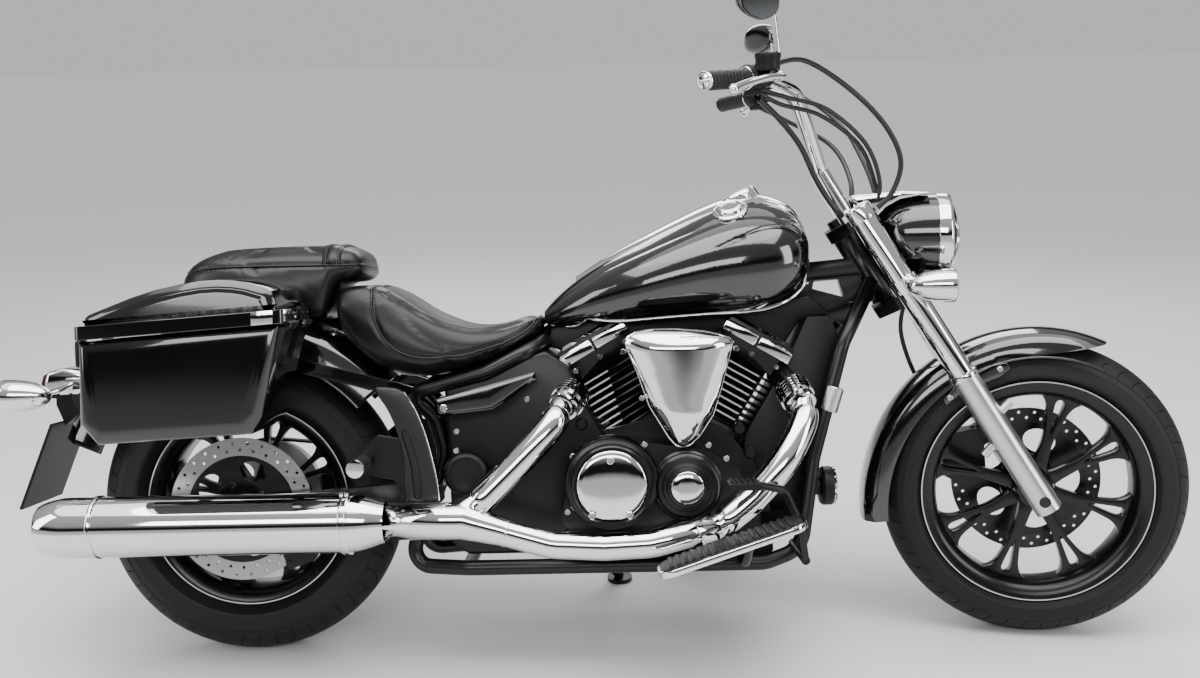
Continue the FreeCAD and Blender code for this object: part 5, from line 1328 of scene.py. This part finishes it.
# %% Silencer, end ring and clamp
SILENCER_AT = Vector((0, -232, 313))
spun("silencer_shell", [(320, 37.5), (321, 41), (314, 43), (300, 48), (284, 53.5), (268, 57.5),
                        (250, 59.7), (236, 60), (100, 60), (-100, 60), (-300, 60), (-318, 59), (-334, 56),
                        (-350, 51.5), (-360, 48), (-364, 45.5), (-365, 43), (-363, 40.5), (-356, 39.5),
                        (-352, 36), (-351, 27), (-356, 24), (-356, 22), (-276, 21), (-276, 0)],
     SILENCER_AT, (1, 0, 0), 72, chrome, instead_of=("silencer",), crease=50.0)
bm = bmesh.new()
turned(bm, [(-243, 59), (-243.5, 62), (-245, 63), (-251, 63), (-252.5, 62), (-253, 59)], SILENCER_AT,
       (1, 0, 0), 72)
turned(bm, [(255, 58), (255, 63.5), (254, 64), (251, 64), (250, 62.5), (243, 62.5), (242, 64), (239, 64),
            (238, 63.5), (238, 58)], SILENCER_AT, (1, 0, 0), 72)
for x in (241, 251):
    bolt(bm, SILENCER_AT + Vector((x, -30, 60)), (0, -0.4, 0.92), 4.2, 5)
piece("silencer_bands", bm, chrome, crease=40.0)

# %% [markdown]
# ## Saddlebags
# The cases are moulded shells with slightly domed sides, a raised band round the mouth and lids
# with a broad chamfer. Each is drawn as an outline pushed across the bike, its outer side inset
# ring by ring to dome it, its mouth opened and the whole given a wall. The load space stays hollow.

# %% Case and lid shells
BAG_INNER, BAG_SIDE, BAND_SIDE, CASE_WALL = -195.0, -402.0, -408.0, 3.6
CASE_OUTLINE = [(-206, 688), (-209, 535), (-178, 497), (108, 512), (128, 545), (166, 713)]
DOME_OUTLINE = [(-196, 715), (-194, 732), (-188, 738), (-109, 768), (-62, 782), (-14, 792), (22, 797.5),
                (56, 799), (84, 797), (107, 793), (140, 783), (151, 777), (156, 768), (162, 748), (162, 738)]
# Each ring of a domed side: how far in, then how far out, in millimetres.
CASE_RINGS = ((1.5, 3.5), (3, 3.5), (6, 3.5), (10, 2.4), (10, 1.2), (9, 0.5))
LID_RINGS = ((1, 3), (3, 3), (10, 6.4), (2, 0.4), (2, 0.2), (4, 1.6), (5, 0.8))


def hull(bm, outline, inner_y, outer_y, rings):
    """Prism of an outline whose outer side rises in rings; the mouth between its ends is left open."""
    side = slab(bm, outline, inner_y, outer_y + sum(depth for _, depth in rings))
    bmesh.ops.recalc_face_normals(bm, faces=bm.faces[:])
    ends = {(round(outline[0][0]), round(outline[0][1])), (round(outline[-1][0]), round(outline[-1][1]))}
    for thickness, depth in rings:
        bmesh.ops.inset_region(bm, faces=[side], thickness=thickness, depth=depth)
    mouth = [f for f in bm.faces if {(round(v.co.x), round(v.co.z)) for v in f.verts} == ends]
    bmesh.ops.delete(bm, geom=mouth, context="FACES")


def walled(thing, wall_mm):
    """Give an open shell its wall, inward."""
    wall = thing.modifiers.new("wall", "SOLIDIFY")
    wall.thickness, wall.offset = wall_mm / 1000, -1.0


def band_ring(bm):
    """The band round a lid's mouth: a frame with round corners and no top or bottom."""
    slab(bm, [(-210.5, 691), (176, 716), (176, 742), (-210.5, 717)], BAG_INNER, BAND_SIDE)
    bmesh.ops.recalc_face_normals(bm, faces=bm.faces[:])
    corners = [e for e in bm.edges if abs(e.verts[0].co.x - e.verts[1].co.x) < 1
               and abs(e.verts[0].co.z - e.verts[1].co.z) > 20 and e.verts[0].co.y < -300]
    bevel(bm, corners, 14, 5)
    bm.normal_update()
    ends = [f for f in bm.faces if abs(f.normal.z) > 0.9]
    bmesh.ops.delete(bm, geom=ends, context="FACES")


bm = bmesh.new()
hull(bm, CASE_OUTLINE, BAG_INNER, BAG_SIDE, CASE_RINGS)
cases = piece("saddlebag_cases", bm, case_plastic, instead_of=("saddlebags",), both_sides=True)
walled(cases, CASE_WALL)
soft_edges(cases, 3.0, 3, 36)

# %% [markdown]
# Lid, chrome clasp and upper hinge leaf ride on the lid's own body, so that they swing with it. The
# lower leaf, the pin and the latch stay with the case.

# %% Lids with clasp and hinge
HINGE = Vector((181.5, 0, 714.0))
LEAVES = ((-388, -332), (-278, -222))
LEAF = [(176, 718), (176, 741), (178.4, 741), (178.4, 720), (182.5, 718.5), (180, 717)]
KNUCKLE = [(0, 3.0), (0, 5.0), (23, 5.0), (23, 3.0)]


def lid_set(side, body, node):
    """Dome, band, clasp and hinge leaves of one lid; side is -1 for the left."""
    flip = Matrix.Scale(side, 4, (0, 1, 0))
    bm = bmesh.new()
    hull(bm, DOME_OUTLINE, BAG_INNER, -401, LID_RINGS)
    bm.transform(flip)
    walled(piece(node + "_dome", bm, case_plastic, body, instead_of=(node,), crease=24.0), CASE_WALL)
    bm = bmesh.new()
    band_ring(bm)
    bm.transform(flip)
    band = piece(node + "_band", bm, case_plastic, body, crease=30.0)
    walled(band, 13.0)
    soft_edges(band, 1.5)
    bm = bmesh.new()
    slab(bm, [(118, 713.2), (158, 716), (158, 741.2), (118, 738.4)], BAND_SIDE + 0.5, BAND_SIDE - 2.2)
    slab(bm, [(164, 717.2), (178, 720.4), (178.6, 742), (164, 741)], -398, -318)
    turned(bm, [(-0.5, 16.4), (-0.5, 12), (26, 12), (26, 16.4)], (162, -392, 715.4), (0, 0, 1), 24, 90,
           (0, -1, 0))
    round_edges(bm, 1.0, 2, 40)
    bm.transform(flip)
    piece(node + "_clasp", bm, chrome, body, crease=40.0)
    bm = bmesh.new()
    for outer, inner in LEAVES:
        slab(bm, LEAF, outer, inner)
        turned(bm, KNUCKLE, (HINGE.x, outer + 16.5, HINGE.z), (0, 1, 0), 20)
        for y in (outer + 12, inner - 12):
            bolt(bm, (178.4, y, 731), (1, 0, 0), 4.0, 2.6)
    bm.transform(flip)
    piece(node + "_hinge", bm, powder_coat, body, crease=40.0)


lid_set(1, "lid_right", "lid_right")
lid_set(-1, "lid_left", "lid_left")
bm = bmesh.new()
for outer, inner in LEAVES:
    slab(bm, [(148, 645), (163, 708), (178, 709), (176, 704), (157, 645)], outer, inner)
    for start in (outer, inner - 16):
        turned(bm, [(0, 0), (0, 5.0), (16, 5.0), (16, 0)], (HINGE.x, start, HINGE.z), (0, 1, 0), 20)
        slab(bm, [(170, 706), (178, 709.2), (184, 709.6), (186, 713), (178, 704)], start, start + 16)
piece("case_hinges", bm, powder_coat, crease=40.0, both_sides=True)
bm = bmesh.new()
for outer, inner in LEAVES:
    turned(bm, [(-1.5, 0), (-1.5, 3.8), (0, 4.4), (0, 2.6), (56, 2.6), (56, 4.4), (57.5, 3.8), (57.5, 0)],
           (HINGE.x, outer, HINGE.z), (0, 1, 0), 16)
    for y in (outer + 12, inner - 12):
        bolt(bm, (168, y, 690), (0.96, 0, -0.25), 4.0, 2.6)
piece("hinge_pins", bm, chrome, crease=40.0, both_sides=True)
bm = bmesh.new()
for y in (-360, -240):
    merge_in(bm, rounded_box(-221, -206, y - 17, y + 17, 640, 690, 5, 3))
piece("case_latches", bm, moulded_plastic, crease=40.0, both_sides=True)

# %% [markdown]
# ## Tail
# Between the rear signals sits the stop lamp: a chromed shoe on the fender with a lens set in its
# back. The plate below is blank enamelled sheet in a black holder, held by two screws.

# %% Stop lamp and plate
bm = bmesh.new()
slab(bm, [(-320, 592), (-334, 582), (-352, 562), (-424, 561), (-430, 588), (-424, 612), (-388, 620),
          (-342, 612)], -58, 58)
round_edges(bm, 9.0, 4, 30)
piece("stop_lamp_shoe", bm, chrome, crease=50.0)
bm = bmesh.new()
slab(bm, [(-422, 566), (-434, 567), (-438.5, 588), (-433, 606), (-422, 608)], -50, 50)
round_edges(bm, 3.5, 3, 30)
piece("stop_lamp_lens", bm, stop_lens, crease=50.0)
dress("plate_holder", moulded_plastic, 1.5)
PLATE_LOW, PLATE_HIGH, PLATE_THICK = Vector((-474, 0, 327)), Vector((-402, 0, 506)), 1.6
up_plate = (PLATE_HIGH - PLATE_LOW).normalized()
out_plate = Vector((-up_plate.z, 0, up_plate.x))
bm = bmesh.new()
low, high = PLATE_LOW + up_plate * 8, PLATE_LOW + up_plate * 182
corners = [low, high, high + out_plate * PLATE_THICK, low + out_plate * PLATE_THICK]
slab(bm, [(p.x, p.z) for p in corners], -90, 90)
bmesh.ops.recalc_face_normals(bm, faces=bm.faces[:])
turning = [e for e in bm.edges if abs(e.verts[0].co.y - e.verts[1].co.y) < 0.1
           and (e.verts[0].co - e.verts[1].co).length < 3]
bevel(bm, turning, 9, 4)
piece("blank_plate", bm, plate_white, "chassis", "black_plastic", crease=30.0)
bm = bmesh.new()
for y in (-50, 50):
    bolt(bm, PLATE_LOW + up_plate * 168 + out_plate * PLATE_THICK + Vector((0, y, 0)), out_plate, 4.5, 3)
piece("plate_screws", bm, axle_steel)

# %% [markdown]
# ## Fenders
# Both fenders are pressed steel with a rolled edge. On the front one a stepped brace follows the
# skirt from the fork leg, fixed by two dome bolts.

# %% Fenders and their edges
dress("rear_fender", lacquer)
dress("front_fender", lacquer)


def arc(centre, radius, start, end, y):
    """Points two degrees apart round a centre."""
    count = round(abs(end - start) / 2)
    return [(centre.x + radius * math.cos(math.radians(start + (end - start) * i / count)), y,
             centre.z + radius * math.sin(math.radians(start + (end - start) * i / count)))
            for i in range(count + 1)]


tube("rear_fender_edge", arc(REAR_AXLE, 320, 40, 158, -102), 3.2, lacquer, both_sides=True)
tube("front_fender_edge", arc(FRONT_AXLE, 294, 66, 121, -71.5), 2.6, lacquer, "steering", both_sides=True)
brace = [(1614, 604), (1585, 599), (1545, 578), (1508, 552), (1486, 524), (1492, 512), (1520, 536),
         (1560, 556), (1602, 574), (1620, 590)]
bm = bmesh.new()
slab(bm, brace, -73, -78)
round_edges(bm, 1.8, 3, 30)
piece("fender_braces", bm, lacquer, "steering", crease=30.0, both_sides=True)
bm = bmesh.new()
bolts(bm, ((1600, 590), (1500, 530)), -78, RIGHT, 6.5, 4.5)
piece("fender_bolts", bm, chrome, "steering", both_sides=True)

# %% [markdown]
# ## Covers under the seat
# Two covers close the frame below the rider: a curved satin column with a long recessed slot, and a
# lacquered wedge that points at the engine. The slot is a real opening over a second, deeper skin.
# A thin chrome line along the column's front edge is a painted highlight on that edge.

# %% Column covers and wedges
EDGE = [(300, 577), (330, 576), (356, 566), (378, 528), (396, 480), (409, 428), (418, 382), (422, 344)]
BACK = [(352, 344), (353, 400), (350, 444), (338, 494), (322, 532), (304, 560)]
SLOT = [(385, 352), (384, 400), (377, 440), (366, 476), (357, 492), (350, 489), (350, 478), (358, 452),
        (366, 418), (370, 380), (371, 352), (378, 347)]
outer = [(p.x, p.z) for p in through([(x, 0, z) for x, z in EDGE], 12)]
outer += [(p.x, p.z) for p in through([(x, 0, z) for x, z in BACK], 12)]
bm = bmesh.new()
pierced_plate(bm, [outer, SLOT], -180, -190)
round_edges(bm, 3.0, 3, 50)
slab(bm, outer, -172, -181)
slab(bm, [(330, 540), (366, 560), (393, 484), (414, 404), (416, 396), (372, 396), (362, 450), (348, 500)],
     -128, -173)
piece("column_covers", bm, satin_black, instead_of=("side_covers",), both_sides=True)
# Chrome line along the column's front edge: painted highlight.
tube("column_edge_highlight", [(p.x + 0.4, -185, p.z) for p in through([(x, 0, z) for x, z in EDGE[2:]], 8)], 2.4,
     chrome, both_sides=True)
bm = bmesh.new()
slab(bm, [(415, 550), (417, 517), (428, 512), (534, 524), (560, 540), (622, 586), (622, 602), (520, 576)],
     -150, -168)
bmesh.ops.recalc_face_normals(bm, faces=bm.faces[:])
side = min(bm.faces, key=lambda f: f.calc_center_median().y)
bmesh.ops.inset_region(bm, faces=[side], thickness=9, depth=8)
round_edges(bm, 1.5, 2, 20)
piece("wedge_covers", bm, lacquer, crease=30.0, both_sides=True)
bm = bmesh.new()
bolt(bm, (434, -175, 531), RIGHT, 8, 6)
bolts(bm, ((452, 476), (450, 436), (640, 470), (600, 540)), -112, RIGHT, 6.5, 6)
piece("cover_bolts", bm, chrome, both_sides=True)
bm = bmesh.new()
slab(bm, [(428, 566), (432, 470), (438, 240), (470, 216), (650, 216), (700, 300), (768, 440), (766, 456),
          (722, 532), (690, 606), (640, 640), (560, 616), (500, 600)], -112, 112)
round_edges(bm, 8.0, 3, 30)
piece("centre_box", bm, engine_enamel, crease=30.0)
bm = bmesh.new()
slab(bm, [(706, 560), (680, 632), (640, 646), (650, 684), (716, 704), (780, 742), (1060, 742),
          (1110, 728), (1200, 744), (1244, 704), (1180, 690), (1120, 600), (1040, 470), (912, 440),
          (800, 460), (740, 500)], -38, 38)
slab(bm, [(1052, 396), (1112, 300), (1160, 250), (1184, 300), (1200, 420), (1268, 640), (1240, 700),
          (1190, 700), (1150, 612), (1104, 532), (1056, 452)], -66, 66)
round_edges(bm, 6.0, 2, 30)
piece("harness_covers", bm, moulded_plastic, crease=30.0)
spun("pump_cover", [(96, 46), (150, 46), (156, 43), (158, 38), (158, 34), (154, 33), (154, 0)],
     (474, 0, 392), RIGHT, 48, engine_enamel, crease=30.0)

# %% [markdown]
# ## Frame, swingarm and brakes
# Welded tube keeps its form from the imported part. The edges of cast and cut pieces are softened,
# and the calipers get their pistons' bores and the bolts that hold them together.

# %% Chassis metal
dress("frame", powder_coat)
dress("swingarm", powder_coat, 3.0)
dress("bag_rails", lacquer, 2.5)
dress("side_stand", powder_coat, 1.5)
dress("handlebar", chrome, crease=40.0)
dress("passenger_pegs", powder_coat, 2.0)
dress("rear_pulley", satin_aluminium, 1.0)
dress("front_caliper", powder_coat, 5.0, segments=3)
dress("rear_caliper", powder_coat, 4.0, segments=3)
bm = bmesh.new()
for x, z in ((1536, 404), (1546, 346)):
    turned(bm, [(94, 0), (94, 17), (98, 17), (101, 15), (101, 9), (99, 8), (99, 0)], (x, 0, z), (0, 1, 0), 28)
bolts(bm, ((1512, 424), (1580, 428), (1584, 338), (1514, 340)), 95, LEFT_SIDE, 6, 5)
piece("front_caliper_bolts", bm, dark_steel, "steering")
bm = bmesh.new()
turned(bm, [(130, 0), (130, 15), (134, 15), (136, 13), (136, 7), (134, 6), (134, 0)], (124, 0, 246),
       RIGHT, 28)
bolts(bm, ((98, 212), (152, 284), (104, 300), (140, 318)), -130, RIGHT, 5.5, 5)
piece("rear_caliper_bolts", bm, dark_steel)
bm = bmesh.new()
for rib in range(6):
    turned(bm, [(28 + rib * 9, 15), (28 + rib * 9, 18), (33 + rib * 9, 18), (34.5 + rib * 9, 15)],
           (276, -178, 428), (-6, -88, -4), 24)
piece("peg_rubbers", bm, grip_rubber, both_sides=True)
spun("peg_ends", [(84, 14), (84, 17.5), (88, 18.5), (90, 17.5), (91, 10), (91, 0)], (276, -178, 428),
     (-6, -88, -4), 32, chrome, crease=40.0, both_sides=True)

# %% [markdown]
# ## Floorboards, pedals and horn
# A floorboard is a chromed tray with a ribbed rubber mat sunk in it. It is drawn flat, as a rounded
# plate, and tilted into place.

# %% Floorboards
BOARD_TILT = math.atan2(326 - 232, 1134 - 852)
BOARD_AT = Matrix.Translation((858, -322, 214)) @ Matrix.Rotation(-BOARD_TILT, 4, "Y")


def rounded_plan(x0, x1, half, radius, z):
    """Rectangle with round corners, seen from above."""
    plan = []
    for cx, cy, start in ((x1 - radius, half - radius, 0), (x0 + radius, half - radius, 90),
                          (x0 + radius, -half + radius, 180), (x1 - radius, -half + radius, 270)):
        for turn_of_corner in range(0, 91, 15):
            a = math.radians(start + turn_of_corner)
            plan.append((cx + radius * math.cos(a), cy + radius * math.sin(a), z))
    return plan


def mat(x0, x1, half, radius, z0, z1):
    """Flat plate with round corners and softened edges."""
    bm = bmesh.new()
    face = bm.faces.new([bm.verts.new(p) for p in rounded_plan(x0, x1, half, radius, z0)])
    pushed(bm, [face], (0, 0, z1 - z0))
    round_edges(bm, 2.0, 2, 40)
    return bm


bm = bmesh.new()
merge_in(bm, mat(2, 300, 52, 34, 2, 15), BOARD_AT)
piece("board_trays", bm, chrome, instead_of=("floorboards",), both_sides=True)
bm = bmesh.new()
merge_in(bm, mat(8, 294, 46.5, 29, 12, 17), BOARD_AT)
for rib in range(17):
    x = 26 + rib * 15
    reach = 46.5 - 6 - max(0, 24 - x) * 0.5 - max(0, x - 270) * 0.6
    merge_in(bm, rounded_box(x, x + 8, -reach, reach, 16, 20.5, 1.4, 2), BOARD_AT)
piece("board_mats", bm, grip_rubber, both_sides=True)
for name, x, z in (("rear", 930, 238), ("front", 1040, 274)):
    tube("board_arms_" + name, through([(x, -128, 205), (x, -200, 211), (x, -282, z - 4)], 8), 9,
         powder_coat, both_sides=True)

# %% Pedals and horn
dress("foot_controls", powder_coat, 1.5, crease=35.0)
bm = bmesh.new()
for rib in range(5):
    merge_in(bm, rounded_box(1000 + rib * 11, 1007 + rib * 11, -327, -273, 389, 394, 1.2, 2))
merge_in(bm, rounded_box(997, 1055, -329, -271, 387, 391, 1.5, 2))
piece("brake_pedal_rubber", bm, grip_rubber)
spun("gear_lever_rubber", [(0, 15), (52, 15), (54, 13), (54, 0)], (1078, 286, 342), (-10, 52, 6), 24,
     grip_rubber)
spun("horn_body", [(1200, 20), (1222, 20), (1224, 38), (1230, 42), (1246, 42), (1250, 40), (1252, 36),
                   (1250, 33), (1256, 30), (1258, 22), (1254, 18), (1258, 10), (1261, 0)], (0, -10, 330),
     (1, 0, 0), 48, moulded_plastic, instead_of=("horn",), crease=30.0)
spun("horn_ring", [(1249, 39), (1253, 41), (1256, 39), (1255, 36), (1250, 36)], (0, -10, 330), (1, 0, 0),
     48, chrome, crease=40.0)
# Bright aluminium bands on the downtubes: painted highlight where light catches the tubes.
spun("downtube_highlights", [(-26, 19.6), (-24, 21.2), (24, 21.2), (26, 19.6)], (1237, -81, 526),
     (1277 - 1195, 0, 678 - 415), 32, satin_aluminium, both_sides=True)
bm = bmesh.new()
bolts(bm, ((1200, 771), (1296, 722), (1316, 786)), -14, RIGHT, 6, 5)
piece("neck_bolts", bm, chrome, both_sides=True)

# %% [markdown]
# ## Yokes and hoses
# The fork covers hide the outer half of both clamps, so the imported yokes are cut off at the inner
# side of the legs. Hoses are round lines through a few points: two throttle cables, the brake
# hose, the clutch cable, the wiring and the hose down to the caliper.

# %% Yokes
bm = bmesh.new()
bm.from_mesh(frame["nodes"]["yokes"].data)
bmesh.ops.remove_doubles(bm, verts=bm.verts[:], dist=0.00002)
bm.transform(FORK.inverted())
for way in (-1, 1):
    cut = bmesh.ops.bisect_plane(bm, geom=bm.verts[:] + bm.edges[:] + bm.faces[:], plane_co=(0, way * 96, 0),
                                 plane_no=(0, way, 0), clear_outer=True)
    rims = [e for e in cut["geom_cut"] if isinstance(e, bmesh.types.BMEdge)]
    bmesh.ops.holes_fill(bm, edges=rims, sides=0)
bmesh.ops.dissolve_limit(bm, verts=bm.verts[:], edges=bm.edges[:], angle_limit=math.radians(0.6))
soft_edges(piece("yoke_clamps", bm, powder_coat, "steering", instead_of=("yokes",), crease=30.0), 2.5, 3)

# %% Hoses and cables
HOSES = (
    ("brake_hose", 5.5, [(1128, -304, 1211), (1196, -212, 1224), (1290, -112, 1172), (1362, -78, 1100),
                         (1396, -62, 1028), (1382, -56, 966), (1350, -56, 930)]),
    ("throttle_cable", 4.6, [(1104, -280, 1162), (1150, -236, 1140), (1230, -140, 1120), (1310, -76, 1060),
                             (1346, -40, 980), (1352, -30, 926)]),
    ("return_cable", 4.6, [(1110, -284, 1168), (1160, -232, 1154), (1242, -146, 1132), (1322, -84, 1064),
                           (1354, -56, 984), (1344, -44, 920)]),
    ("switch_wiring", 6.0, [(1106, -284, 1150), (1146, -230, 1112), (1188, -160, 1060), (1222, -116, 990),
                            (1262, -84, 930), (1300, -58, 900)]),
    ("clutch_cable", 4.6, [(1127, 284, 1190), (1190, 214, 1186), (1280, 104, 1112), (1322, 62, 1040),
                           (1348, 34, 970), (1350, 30, 926)]),
    ("left_wiring", 5.5, [(1104, 280, 1162), (1168, 226, 1126), (1262, 124, 1066), (1300, 52, 990),
                          (1300, 24, 915)]),
    ("caliper_hose", 5.0, [(1424, 60, 743), (1414, 80, 650), (1452, 90, 540), (1506, 86, 466),
                           (1536, 74, 425)]),
)
for name, radius, route in HOSES:
    drawn = tube(name, through(route, 7), radius, hose_rubber, "steering", 4)
    if name == "brake_hose":
        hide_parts("control_cables")

# %% [markdown]
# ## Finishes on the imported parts
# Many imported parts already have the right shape, so they only need the right finish. The table
# names a finish for each of them.

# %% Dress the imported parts
FINISHES = (
    (powder_coat, "frame swingarm passenger_pegs horn yokes front_caliper side_stand"),
    (engine_enamel, "engine_cases cylinders engine_covers"),
    (chrome, "rocker_covers air_cleaner exhaust_pipes silencer tank_console "
             "bag_rails rear_lamps floorboards foot_controls front_signals handlebar"),
    (lacquer, "fuel_tank side_covers rear_fender front_fender headlamp"),
    (leather, "rider_seat passenger_seat"),
    (case_plastic, "saddlebags lid_right lid_left"),
    (moulded_plastic, "plate_holder hand_controls mirrors"),
    (axle_steel, "rear_axle front_axle"),
    (hose_rubber, "drive_belt control_cables"),
    (satin_aluminium, "rear_caliper fork_legs rear_pulley"),
    (lamp_glass, "headlamp_lens"),
    (grip_rubber, "grips"),
    (wheel_enamel, "front_rim rear_rim"),
    (tyre_rubber, "front_tyre rear_tyre"),
    (disc_steel, "front_disc rear_disc"),
)
for material, names in FINISHES:
    for name in names.split():
        materials = frame["nodes"][name].data.materials
        materials.clear()
        materials.append(material)
print("finished parts:", len(frame["nodes"]))
